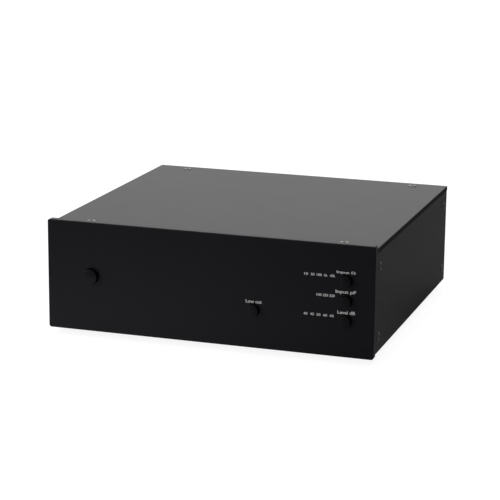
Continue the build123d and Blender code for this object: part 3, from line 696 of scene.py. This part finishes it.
@dataclass
class Turning:
    """A piece turned on a lathe: a ring extruded and scaled along its axis, outline point by outline point.

    An outline is pairs of a place along the axis and a radius, in millimetres. One that comes back to its
    start is a tube, and any other gets flat ends. Rings with the key's radius are pressed into a hexagon.
    Edges that turn more than edge_turn, in degrees, are rounded, and those under smooth_turn shade smoothly.
    """

    outline: list[tuple[float, float]]
    spindle: Spindle = Spindle.ALONG_Y
    sides: int = 72
    edge: float = 0.12
    edge_turn: float = 30.0
    smooth_turn: float = 35.0
    key: float | None = None
    key_flats: int = 6

    def spin(self, centre: Point) -> Piece:
        """Extrudes the rings.

        Args:
            centre: The point of the axis that the outline counts from, in millimetres.

        Returns:
            The raw piece, in edit mode with everything selected.
        """
        deselect()
        way, lean = self.spindle.value
        along = Vector(way)
        across = Vector((1, 1, 1)) - along
        start, radius = self.outline[0]
        bpy.ops.mesh.primitive_circle_add(vertices=self.sides, radius=radius * MM, rotation=lean,
                                          location=(Vector(centre) + along * start) * MM)
        piece = bpy.context.object
        bpy.ops.object.transform_apply(location=True, rotation=True, scale=True)
        bpy.ops.object.mode_set(mode="EDIT")
        bpy.ops.mesh.select_all(action="SELECT")
        for (near, small), (far, large) in zip(self.outline, self.outline[1:]):
            bpy.ops.mesh.extrude_region_move(TRANSFORM_OT_translate={"value": along * (far - near) * MM})
            bpy.ops.transform.resize(value=along + across * (large / small),
                                     center_override=(Vector(centre) + along * far) * MM)
        bpy.ops.mesh.select_all(action="SELECT")
        bpy.ops.mesh.remove_doubles(threshold=MERGE)
        bpy.ops.mesh.fill_holes(sides=0)
        bpy.ops.mesh.normals_make_consistent(inside=False)
        return piece

    def broach(self, piece: Piece, centre: Point) -> None:
        """Presses the rings with the key's radius into a hexagon, column of points by column.

        Args:
            piece: The piece, in edit mode.
            centre: A point of its axis, in millimetres.
        """
        pitch = self.sides // self.key_flats
        half_flat = math.pi / self.key_flats
        kept = Vector(self.spindle.value[0])
        level, upright = [v for v in map(Vector, ((1, 0, 0), (0, 1, 0), (0, 0, 1))) if v != kept]
        for step in range(pitch // 2 + 1):
            bpy.ops.mesh.select_all(action="DESELECT")
            bpy.ops.mesh.select_mode(type="VERT")
            bpy.ops.object.mode_set(mode="OBJECT")
            for point in piece.data.vertices:
                reach = point.co / MM - Vector(centre)
                reach = Vector((reach @ level, reach @ upright))
                column = round(math.atan2(reach.y, reach.x) / math.tau * self.sides) % pitch
                point.select = abs(reach.length - self.key) < SAME and min(column, pitch - column) == step
            bpy.ops.object.mode_set(mode="EDIT")
            shrink = math.cos(half_flat) / math.cos(half_flat - step * math.tau / self.sides)
            bpy.ops.transform.resize(value=Vector((1, 1, 1)) * shrink + kept * (1 - shrink),
                                     center_override=Vector(centre) * MM)

    def build(self, name: str, centre: Point, finish: Finish) -> Piece:
        """Turns the piece, broaches it where it has a key, and rounds its edges.

        Args:
            name: The piece's name.
            centre: The point of the axis that the outline counts from, in millimetres.
            finish: Its finish.

        Returns:
            The finished piece.
        """
        piece = self.spin(centre)
        if self.key:
            self.broach(piece, centre)
        bpy.ops.object.mode_set(mode="OBJECT")
        settle(piece, name, finish)
        if self.edge:
            self.round_edges(piece)
        bpy.ops.object.shade_smooth_by_angle(angle=math.radians(self.smooth_turn))
        return piece

    def round_edges(self, piece: Piece) -> None:
        """Rounds the piece's edges.

        Args:
            piece: The piece, in object mode.
        """
        pick(piece)
        edge = piece.modifiers.new("rounded_edges", "BEVEL")
        edge.width = self.edge * MM
        edge.segments = EDGE_STEPS
        edge.limit_method = "ANGLE"
        edge.angle_limit = math.radians(self.edge_turn)
        bpy.ops.object.modifier_apply(modifier=edge.name)


def copy_along(piece: Piece, name: str, step: Point) -> Piece:
    """Copies a finished piece, with its own mesh, to a place a step away.

    Args:
        piece: The piece to copy.
        name: The copy's name.
        step: How far it moves, in millimetres.

    Returns:
        The copy.
    """
    pick(piece)
    bpy.ops.object.duplicate(linked=False)
    copy = bpy.context.object
    copy.location = Vector(step) * MM
    bpy.ops.object.transform_apply(location=True, rotation=True, scale=True)
    copy.name = name
    copy.data.name = name
    return copy


def to_corners(first: Piece, one: Point, other: Point) -> list[Piece]:
    """Copies the piece at one corner of a rectangle to the other three.

    Args:
        first: The piece, whose name ends in 1; the copies' names end in 2, 3 and 4.
        one: The step to the second piece, in millimetres.
        other: The step to the third piece. Both steps together lead to the fourth.

    Returns:
        The four pieces.
    """
    stem = first.name.removesuffix("1")
    both = (one[0] + other[0], one[1] + other[1], one[2] + other[2])
    return [first, *(copy_along(first, f"{stem}{i}", step) for i, step in enumerate((one, other, both), 2))]


class Facing(Enum):
    """Which way print faces, as the turn about Z of text that starts out facing the front."""

    FRONT = 0.0
    BACK = math.pi


@dataclass
class Print:
    """Screen-printed characters on a panel's face: their middle, base line, size and film, in millimetres.

    Without a width they are as wide as the typeface makes them. The weight thickens their strokes.
    """

    text: str
    centre_x: float
    base_z: float
    height: float
    width: float | None = None
    weight: float = 0.02
    film: float = 0.03
    curve_steps: int = 3

    def build(self, name: str, face_y: float, facing: Facing) -> Piece:
        """Makes the print on a face.

        Args:
            name: The piece's name.
            face_y: The face's place in millimetres.
            facing: Which way the face looks.

        Returns:
            The finished piece.
        """
        deselect()
        bpy.ops.object.text_add()
        piece = bpy.context.object
        piece.data.body = self.text
        piece.data.resolution_u = self.curve_steps
        # half of a thickness of 1, which the film's thickness then scales
        piece.data.extrude = 0.5
        piece.data.offset = self.weight
        bpy.ops.object.convert(target="MESH")
        low = Vector(map(min, zip(*(v.co for v in piece.data.vertices))))
        high = Vector(map(max, zip(*(v.co for v in piece.data.vertices))))
        tall = self.height / (high.y - low.y)
        wide = self.width / (high.x - low.x) if self.width else tall
        centred = Matrix.Translation((-(low.x + high.x) / 2, -low.y, 0))
        sized = Matrix.Diagonal((wide * MM, tall * MM, self.film * MM, 1))
        upright = Matrix.Rotation(facing.value, 4, "Z") @ Matrix.Rotation(math.pi / 2, 4, "X")
        placed = Matrix.Translation((self.centre_x * MM, face_y * MM, self.base_z * MM))
        piece.data.transform(placed @ upright @ sized @ centred)
        settle(piece, name, INK)
        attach(piece, "case")
        return piece


def print_all(marks: list[Print], stem: str, face_y: float, facing: Facing) -> list[str]:
    """Prints marks on a face, whose place is in millimetres, and names them by the stem and a number."""
    return [mark.build(f"{stem}_{i}", face_y, facing).name for i, mark in enumerate(marks, 1)]


# ---- sub-assemblies ----
@dataclass
class Enclosure:
    """The six plates with their screws, brackets and feet.

    Screws with a raised head have a crown drawn in a few steps, from crown_start through crown_sweep degrees.
    """

    foot_x: float = 82.0
    foot_front_y: float = -56.1
    foot_rear_y: float = 57.3
    foot_height: float = 5.1
    foot_radius: float = 9.0
    foot_chamfer: float = 0.8
    foot_edge: float = 0.3
    foot_bore: float = 1.65
    foot_recess_radius: float = 4.2
    foot_recess_depth: float = 3.0
    cover_top_z: float = 69.4
    side_x: float = 102.25
    screw_x: float = 80.25
    screw_y: tuple[float, float] = (-84.1, 87.4)
    side_screw_z: tuple[float, float] = (57.25, 14.25)
    cover_screw_length: float = 7.0
    side_screw_length: float = 6.5
    screw_radius: float = 1.5
    screw_sides: int = 48
    head_radius: float = 2.9
    head_sink: float = 0.25
    head_rise: float = 0.45
    crown_steps: int = 6
    crown_start: float = 8.0
    crown_sweep: float = 76.0
    key_radius: float = 1.15
    key_depth: float = 0.55

    def screw(self, name: str, centre: Point, spindle: Spindle, sign: int, length: float) -> Piece:
        """Turns a countersunk screw with a raised head and a hexagon socket.

        Args:
            name: The screw's name.
            centre: Where its axis meets the plate's face.
            spindle: Which way its axis runs.
            sign: 1 where its head looks up the axis and -1 where it looks down it.
            length: Its length below the face.

        Returns:
            The screw.
        """
        seat = self.head_radius
        cone = self.head_sink + seat - self.screw_radius
        outline = [(-length, self.screw_radius), (-cone, self.screw_radius), (-self.head_sink, seat)]
        for i in range(self.crown_steps):
            angle = math.radians(self.crown_start + self.crown_sweep * i / self.crown_steps)
            outline.append((self.head_rise * math.sin(angle),
                            seat - (seat - self.key_radius) * (1 - math.cos(angle))))
        outline += [(self.head_rise, self.key_radius), (-self.key_depth, self.key_radius)]
        outline = [(place * sign, radius) for place, radius in outline]
        turning = Turning(outline, spindle, sides=self.screw_sides, edge=0.0, key=self.key_radius)
        # the heads take the greyer steel, a painted highlight
        return turning.build(name, centre, HIGHLIT_OXIDE)

    def screws(self) -> list[Piece]:
        """Turns the cover's screws and the side plates' screws, and copies each to its places.

        Returns:
            The screws.
        """
        front, rear = self.screw_y
        top, low = self.side_screw_z
        back = (0, rear - front, 0)
        first = self.screw("cover_screw_1", (-self.screw_x, front, self.cover_top_z), Spindle.ALONG_Z, 1,
                           self.cover_screw_length)
        corners = to_corners(first, back, (2 * self.screw_x, 0, 0))
        made = [stand_in(screw, "case", "cover_screws") for screw in corners]
        for sign, side in ((-1, "left"), (1, "right")):
            first = self.screw(f"side_screw_{side}_1", (sign * self.side_x, front, top), Spindle.ALONG_X,
                               sign, self.side_screw_length)
            corners = to_corners(first, back, (0, 0, low - top))
            made += [stand_in(screw, "case", "side_screws") for screw in corners]
        return made

    def feet(self) -> list[Piece]:
        """Turns one rubber foot and copies it to the other corners.

        Returns:
            The four feet.
        """
        low, high, recess = self.foot_chamfer, self.foot_height, self.foot_recess_depth
        outline = [(high, self.foot_bore), (high, self.foot_radius), (low, self.foot_radius),
                   (0, self.foot_radius - low), (0, self.foot_recess_radius),
                   (recess, self.foot_recess_radius), (recess, self.foot_bore), (high, self.foot_bore)]
        first = Turning(outline, Spindle.ALONG_Z, edge=self.foot_edge).build(
            "foot_1", (-self.foot_x, self.foot_front_y, 0), RUBBER)
        corners = to_corners(first, (2 * self.foot_x, 0, 0), (0, self.foot_rear_y - self.foot_front_y, 0))
        return [stand_in(foot, "case", "feet") for foot in corners]

    def build(self) -> list[str]:
        """Dresses the case and stands it on its feet.

        Returns:
            The names of the pieces dressed or made.
        """
        dressed = [*dress(ANODISED, "side_panel_left", "side_panel_right", "base_plate", "rear_panel"),
                   *dress(FRONT, "front_panel"), *dress(COVER, "top_cover"),
                   *dress(HIGHLIT_OXIDE, "cover_screws", "side_screws"),
                   *dress(OXIDE, "base_screws", "rear_panel_screws", "front_panel_screws", "foot_screws"),
                   *dress(MILL, "corner_brackets"), *dress(RUBBER, "feet")]
        return dressed + [piece.name for piece in self.feet() + self.screws()]


@dataclass(frozen=True)
class Button:
    """A push button's name, with its place across, its height and its cap's radius in millimetres."""

    name: str
    x: float
    z: float
    radius: float = 3.35


@dataclass(frozen=True)
class NumberRow:
    """A row of numbers on one base line, each with its width. Lengths are in millimetres."""

    base_z: float
    numbers: tuple[tuple[str, float], ...]
    last_x: float = 77.4
    pitch: float = 4.0
    height: float = 1.55

    def marks(self) -> list[Print]:
        """Sets out the row, counted back from its last number.

        Returns:
            The numbers' prints, in order.
        """
        last = len(self.numbers) - 1
        return [Print(text, self.last_x - self.pitch * (last - i), self.base_z, self.height, width)
                for i, (text, width) in enumerate(self.numbers)]


@dataclass
class FrontControls:
    """The push buttons, their guides, the light pipes and the print beside them.

    A cap's rim is two slopes: from its face to the knee and from the knee to its wall.
    """

    face_y: float = -98.6
    cap_proud: float = 2.8
    cap_back_y: float = -92.0
    cap_sides: int = 96
    cap_edge: float = 0.08
    rim: float = 0.5
    rim_knee_depth: float = 0.125
    rim_knee_inset: float = 0.1
    collar_past: float = 0.8
    collar_thickness: float = 1.2
    stem_radius: float = 1.6
    buttons: tuple[Button, ...] = (
        Button("power", -74.6, 38.5, 4.65), Button("low_cut", 29.5, 27.2), Button("impedance", 86.0, 49.95),
        Button("capacitance", 86.0, 37.9), Button("gain", 86.0, 25.85))
    rows: tuple[NumberRow, ...] = (
        NumberRow(51.75, (("10", 2.2), ("50", 2.3), ("100", 3.1), ("1k", 2.0), ("47k", 3.2))),
        NumberRow(39.8, (("100", 3.1), ("220", 3.2), ("320", 3.2))),
        NumberRow(27.65, (("40", 2.4), ("45", 2.4), ("50", 2.4), ("60", 2.4), ("65", 2.4))))
    words: tuple[Print, ...] = (
        Print("Input \u03a9", 85.5, 54.1, 2.0, 11.3), Print("Input pF", 85.6, 42.0, 2.5, 12.3),
        Print("Level dB", 86.1, 30.1, 2.0, 10.6), Print("Low cut", 29.4, 31.5, 2.0, 10.0))

    def cap(self, button: Button) -> Piece:
        """Turns a button's cap, with its collar and stem behind the panel.

        Args:
            button: The button.

        Returns:
            The cap.
        """
        node = f"{button.name}_button"
        radius = button.radius
        front = self.face_y - self.cap_proud
        collar = self.cap_back_y + self.collar_thickness
        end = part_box(node)[1].y / MM
        outline = [(front, radius - self.rim), (front + self.rim_knee_depth, radius - self.rim_knee_inset),
                   (front + self.rim, radius), (self.cap_back_y, radius),
                   (self.cap_back_y, radius + self.collar_past), (collar, radius + self.collar_past),
                   (collar, self.stem_radius), (end, self.stem_radius)]
        turning = Turning(outline, sides=self.cap_sides, edge=self.cap_edge)
        cap = turning.build(f"{button.name}_cap_turned", (button.x, 0, button.z), CAP)
        return stand_in(cap, f"{button.name}_cap", node)

    def build(self) -> list[str]:
        """Turns the caps, dresses what is behind the panel, and prints the panel.

        Returns:
            The names of the pieces dressed or made.
        """
        pieces: list[str] = []
        for button in self.buttons:
            pieces += [self.cap(button).name, *dress(CAP, f"{button.name}_button"),
                       *dress(GREY_ABS, f"{button.name}_plunger")]
        pieces += [*dress(ABS, "power_button_guide", "small_button_guides", "switch_housings"),
                   *dress(ACRYLIC, "light_pipes"), *dress(LAMP, "indicator_lamps")]
        numbers = [mark for row in self.rows for mark in row.marks()]
        pieces += print_all(numbers, "printed_number", self.face_y, Facing.FRONT)
        return pieces + print_all(list(self.words), "printed_word", self.face_y, Facing.FRONT)


@dataclass
class Electronics:
    """The two boards and what stands on them, all of it made in CAD."""

    def build(self) -> list[str]:
        """Dresses the boards.

        Returns:
            The names of the pieces dressed.
        """
        return [*dress(RESIST, "control_board", "main_board"),
                *dress(NICKEL, "control_board_standoffs", "board_standoffs"),
                *dress(STEEL, "control_board_screws", "board_screws"),
                *dress(ABS, "ribbon_connectors", "chips"),
                *dress(RIBBON, "ribbon_cable"),
                *dress(RED_ABS, "film_capacitors"),
                *dress(SLEEVE, "electrolytic_capacitors"),
                *dress(WHITE_ABS, "relays")]


@dataclass
class RearSockets:
    """The signal, trigger and power sockets on the rear panel, and the plain letters beside them."""

    panel_y: float = 93.8
    phono_x: tuple[float, float] = (78.0, -45.5)
    phono_z: tuple[float, float] = (44.8, 28.8)
    barrel_radius: float = 4.15
    barrel_wall: float = 0.75
    barrel_edge: float = 0.06
    barrel_end_y: float = 101.4
    held_y: float = 90.3
    held_step: float = 0.2
    ring_end_y: float = 95.0
    lip: float = 0.35
    moulding_edge: float = 0.15
    xlr_x: tuple[float, ...] = (56.5, 29.5, 2.5, -24.5)
    letter_height: float = 2.2
    phono_letter_z: tuple[float, float] = (52.6, 18.8)
    xlr_letter_z: float = 54.2
    group_height: float = 2.6
    group_z: float = 59.4
    groups: tuple[tuple[str, float], ...] = (("IN", 53.75), ("OUT", -21.5))
    low_z: float = 26.2
    low_marks: tuple[tuple[str, float], ...] = (("1", -58.5), ("2", -69.0), ("DC", -80.0), ("GND", 92.0))

    def barrel(self, name: str, x: float, z: float) -> Piece:
        """Turns a phono socket's gilt barrel, with the bevelled lip that guides a plug on.

        Args:
            name: The piece's name.
            x: Its place across.
            z: Its height.

        Returns:
            The barrel.
        """
        outer = self.barrel_radius
        inner = outer - self.barrel_wall
        outline = [(self.held_y, inner), (self.held_y, outer - self.held_step),
                   (self.ring_end_y, outer - self.held_step), (self.ring_end_y, outer),
                   (self.barrel_end_y - 2 * self.lip, outer), (self.barrel_end_y, outer - self.lip),
                   (self.barrel_end_y, inner + self.lip / 2), (self.barrel_end_y - self.lip, inner),
                   (self.held_y, inner)]
        return Turning(outline, edge=self.barrel_edge).build(name, (x, 0, z), GOLD)

    def barrels(self) -> list[Piece]:
        """Turns one barrel and copies it to the other sockets.

        Returns:
            The four barrels.
        """
        (x, other_x), (z, other_z) = self.phono_x, self.phono_z
        corners = to_corners(self.barrel("rca_barrel_1", x, z), (0, 0, other_z - z), (other_x - x, 0, 0))
        return [stand_in(barrel, "case", "rca_barrels") for barrel in corners]

    def labels(self) -> list[Print]:
        """Sets out the letters beside the sockets: channels, directions, triggers, power and earth.

        Returns:
            The prints, in order.
        """
        letter = self.letter_height
        marks = [Print(side, x, z, letter)
                 for x in self.phono_x for side, z in zip("LR", self.phono_letter_z)]
        marks += [Print(side, x, self.xlr_letter_z, letter) for side, x in zip("LRLR", self.xlr_x)]
        marks += [Print(word, x, self.group_z, self.group_height) for word, x in self.groups]
        return marks + [Print(word, x, self.low_z, letter) for word, x in self.low_marks]

    def build(self) -> list[str]:
        """Turns the phono barrels, softens the mouldings, dresses the rest and prints the panel.

        Returns:
            The names of the pieces dressed or made.
        """
        pieces = [barrel.name for barrel in self.barrels()]
        pieces += dress(GOLD, "rca_barrels", "rca_contacts", "xlr_output_pins", "xlr_input_contacts")
        for node, finish in (("rca_insulators_left", WHITE_ABS), ("rca_insulators_right", RED_ABS),
                             ("trigger_jacks", ABS), ("dc_inlet", ABS)):
            pieces += [*dress(finish, node), SoftMoulding(node, self.moulding_edge).build(finish).name]
        pieces += dress(ABS, "rca_housings", "xlr_input_sockets", "xlr_input_inserts", "xlr_output_sockets")
        pieces += [*dress(OXIDE, "xlr_screws"), *dress(NICKEL, "dc_inlet_pin")]
        return pieces + print_all(self.labels(), "printed_label", self.panel_y, Facing.BACK)


@dataclass
class EarthTerminal:
    """The stud, nut, washer and knurled knob for an earth lead.

    The knurl is rows of points round the grip. Its facets stay flat, as they turn more than smooth_turn.
    """

    x: float = 92.0
    z: float = 36.75
    knob_y: float = 95.6
    knob_end_y: float = 100.8
    radius: float = 5.2
    bore: float = 2.08
    chamfer: float = 0.5
    neck: float = 0.35
    knurl_rows: int = 8
    knurl_sides: int = 48
    knurl_depth: float = 0.28
    smooth_turn: float = 12.0

    def knob(self) -> Piece:
        """Turns the knob and raises a diamond knurl on its grip.

        Returns:
            The knob.
        """
        root = self.radius - self.knurl_depth
        grip_y = self.knob_y + self.chamfer
        grip = self.knob_end_y - self.chamfer - grip_y
        rings = [(grip_y + grip * i / self.knurl_rows, root) for i in range(self.knurl_rows + 1)]
        outline = [(self.knob_y, self.bore), (self.knob_y, root - self.chamfer), *rings,
                   (self.knob_end_y, root - self.chamfer), (self.knob_end_y, self.bore + self.neck),
                   (self.knob_end_y - self.neck, self.bore), (self.knob_y, self.bore)]
        knob = Turning(outline, sides=self.knurl_sides).spin((self.x, 0, self.z))
        self.raise_knurl(knob, [y for y, _ in rings[1:-1]])
        bpy.ops.object.mode_set(mode="OBJECT")
        settle(knob, "earth_knob_knurled", GOLD)
        bpy.ops.object.shade_smooth_by_angle(angle=math.radians(self.smooth_turn))
        return knob

    def raise_knurl(self, knob: Piece, rows: list[float]) -> None:
        """Lifts every other point of the grip's rings, shifted by one from row to row.

        Args:
            knob: The knob, in edit mode.
            rows: The rings' places along the axis, in millimetres.
        """
        bpy.ops.mesh.select_all(action="DESELECT")
        bpy.ops.mesh.select_mode(type="VERT")
        bpy.ops.object.mode_set(mode="OBJECT")
        root = self.radius - self.knurl_depth
        for point in knob.data.vertices:
            y = point.co.y / MM
            reach = Vector((point.co.x / MM - self.x, point.co.z / MM - self.z))
            row = min(range(len(rows)), key=lambda i: abs(rows[i] - y))
            column = round(math.atan2(reach.y, reach.x) / math.tau * self.knurl_sides)
            on_grip = abs(rows[row] - y) < SAME and abs(reach.length - root) < SAME
            point.select = on_grip and (row + column) % 2 == 0
        bpy.ops.object.mode_set(mode="EDIT")
        grow = self.radius / root
        bpy.ops.transform.resize(value=(grow, 1, grow), center_override=(self.x * MM, 0, self.z * MM))

    def build(self) -> list[str]:
        """Makes the knob and dresses the terminal.

        Returns:
            The names of the pieces dressed or made.
        """
        knob = stand_in(self.knob(), "earth_knob", "ground_knob")
        return [knob.name, *dress(GOLD, "ground_stud", "ground_washer", "ground_knob"),
                *dress(NICKEL, "ground_nut")]


# ---- studio ----
@dataclass(frozen=True)
class Softbox:
    """A square soft lamp: where it hangs, what it looks at, its side in metres and its power in watts."""

    name: str
    place: Point
    aim: Point
    size: float
    power: float

    def hang(self) -> None:
        """Adds the lamp and turns it to its point."""
        deselect()
        bpy.ops.object.light_add(type="AREA", location=self.place)
        lamp = bpy.context.object
        lamp.name = self.name
        lamp.data.energy = self.power
        lamp.data.size = self.size
        lamp.rotation_mode = "QUATERNION"
        lamp.rotation_quaternion = (Vector(self.aim) - Vector(self.place)).to_track_quat("-Z", "Y")


@dataclass
class Studio:
    """A pale floor under a soft surround that is brighter behind the object, and soft lamps.

    Lengths are in metres. The surround brightens where the Y part of a unit line of sight goes from
    surround_from to surround_to.
    """

    floor_size: float = 12.0
    floor_shade: str = "808080"
    floor_lift: float = 0.9
    # a painted pool of light on the floor, seen only in reflections: its middle, its reach and its strength
    reflection_pool_place: Point = (-0.11, -0.15, 0.0)
    reflection_pool_radius: float = 0.3
    reflection_pool_lift: float = 0.8
    surround_front: float = 0.28
    surround_back: float = 0.7
    surround_from: float = -0.6
    surround_to: float = 0.9
    lamps: tuple[Softbox, ...] = (
        Softbox("overhead_softbox", (-0.2, 0.2, 1.6), (0, 0, 0), 1.6, 20.0),
        Softbox("front_softbox", (-1.5, -1.3, 0.7), (0, -0.1, 0.03), 1.0, 14.0),
        Softbox("backdrop_softbox", (-0.8, 2.5, 0.8), (0, 0, 0.07), 1.8, 8.5))

    def floor(self) -> None:
        """Lays the floor: white to the camera round the shadow; reflections see a painted pool of light."""
        deselect()
        bpy.ops.mesh.primitive_plane_add(size=self.floor_size, location=(0, 0, 0))
        floor = bpy.context.object
        floor.name = "floor"
        material = bpy.data.materials.new("pale_floor")
        material.use_nodes = True
        tree = material.node_tree
        tree.nodes.clear()
        paint = add_node(tree, "ShaderNodeBsdfDiffuse", None, {"Color": linear(self.floor_shade)})
        path = add_node(tree, "ShaderNodeLightPath")
        place = add_node(tree, "ShaderNodeTexCoord").outputs["Object"]
        # painted reflection: near that point the floor glows for reflected rays only
        away = add_node(tree, "ShaderNodeVectorMath", {"operation": "DISTANCE"}, {
            0: place, 1: self.reflection_pool_place})
        reflection_pool = add_node(tree, "ShaderNodeMapRange", {"interpolation_type": "SMOOTHSTEP"}, {
            "Value": away.outputs["Value"], "From Max": self.reflection_pool_radius,
            "To Min": self.reflection_pool_lift, "To Max": 0.0})
        mirrored = add_node(tree, "ShaderNodeMath", {"operation": "MULTIPLY"}, {
            0: path.outputs["Is Glossy Ray"], 1: reflection_pool.outputs["Result"]})
        lift = add_node(tree, "ShaderNodeMath", {"operation": "MULTIPLY_ADD"}, {
            0: path.outputs["Is Camera Ray"], 1: self.floor_lift, 2: mirrored.outputs["Value"]})
        glow = add_node(tree, "ShaderNodeEmission", None, {"Strength": lift.outputs["Value"]})
        both = add_node(tree, "ShaderNodeAddShader", None, {
            0: paint.outputs["BSDF"], 1: glow.outputs["Emission"]})
        add_node(tree, "ShaderNodeOutputMaterial", None, {"Surface": both.outputs["Shader"]})
        floor.data.materials.append(material)

    def sky(self) -> None:
        """Sets the surround: white where it is seen, and as a light brighter behind than in front."""
        world = bpy.data.worlds.new("studio_surround")
        bpy.context.scene.world = world
        world.use_nodes = True
        tree = world.node_tree
        tree.nodes.clear()
        way = add_node(tree, "ShaderNodeTexCoord").outputs["Generated"]
        parts = add_node(tree, "ShaderNodeSeparateXYZ", None, {"Vector": way})
        level = add_node(tree, "ShaderNodeMapRange", {"interpolation_type": "SMOOTHSTEP"}, {
            "Value": parts.outputs["Y"], "From Min": self.surround_from, "From Max": self.surround_to,
            "To Min": self.surround_front, "To Max": self.surround_back})
        path = add_node(tree, "ShaderNodeLightPath")
        seen = add_node(tree, "ShaderNodeMath", {"operation": "MAXIMUM"}, {
            0: path.outputs["Is Camera Ray"], 1: path.outputs["Is Transmission Ray"]})
        shown = add_node(tree, "ShaderNodeMath", {"operation": "MAXIMUM"}, {
            0: seen.outputs["Value"], 1: level.outputs["Result"]})
        light = add_node(tree, "ShaderNodeBackground", None, {"Strength": shown.outputs["Value"]})
        add_node(tree, "ShaderNodeOutputWorld", None, {"Surface": light.outputs["Background"]})

    def build(self) -> None:
        """Lays the floor, sets the surround and hangs the lamps."""
        self.floor()
        self.sky()
        for lamp in self.lamps:
            lamp.hang()
        bpy.context.scene.view_settings.view_transform = "Standard"


@dataclass
class ViewCamera:
    """The camera: a long lens a little above and to the right of the front.

    Angles are in degrees, the distance and the aim in the object's millimetres, and the clipping in metres.
    """

    azimuth: float = 18.079
    elevation: float = 13.918
    roll: float = 0.561
    distance: float = 1085.433
    aim: Point = (26.805, -98.6, 63.655)
    lens: float = 132.938
    sensor: float = 36.0
    clip: tuple[float, float] = (0.05, 40.0)

    def build(self) -> None:
        """Places the camera, which looks at its aim from its distance."""
        turn, rise, lean = (math.radians(a) for a in (self.azimuth, self.elevation, self.roll))
        ahead = Vector((-math.sin(turn) * math.cos(rise), math.cos(turn) * math.cos(rise), -math.sin(rise)))
        right = Vector((math.cos(turn), math.sin(turn), 0))
        up = right.cross(ahead)
        side = right * math.cos(lean) + up * math.sin(lean)
        top = up * math.cos(lean) - right * math.sin(lean)
        place = (Vector(self.aim) - ahead * self.distance) * MM
        camera = bpy.data.objects.new("camera", bpy.data.cameras.new("camera"))
        bpy.context.scene.collection.objects.link(camera)
        camera.matrix_world = Matrix((side, top, -ahead)).transposed().to_4x4()
        camera.location = place
        camera.data.lens = self.lens
        camera.data.sensor_width = self.sensor
        camera.data.clip_start, camera.data.clip_end = self.clip
        bpy.context.scene.camera = camera


def main() -> None:
    """Builds the studio and dresses the preamplifier, part by part, and reports each piece."""
    logging.basicConfig(level=logging.INFO, format="%(message)s")
    ViewCamera().build()
    Studio().build()
    for part in (Enclosure(), FrontControls(), Electronics(), RearSockets(), EarthTerminal()):
        for piece in part.build():
            LOG.info("%s: %s", type(part).__name__, piece)


if __name__ == "__main__":
    main()
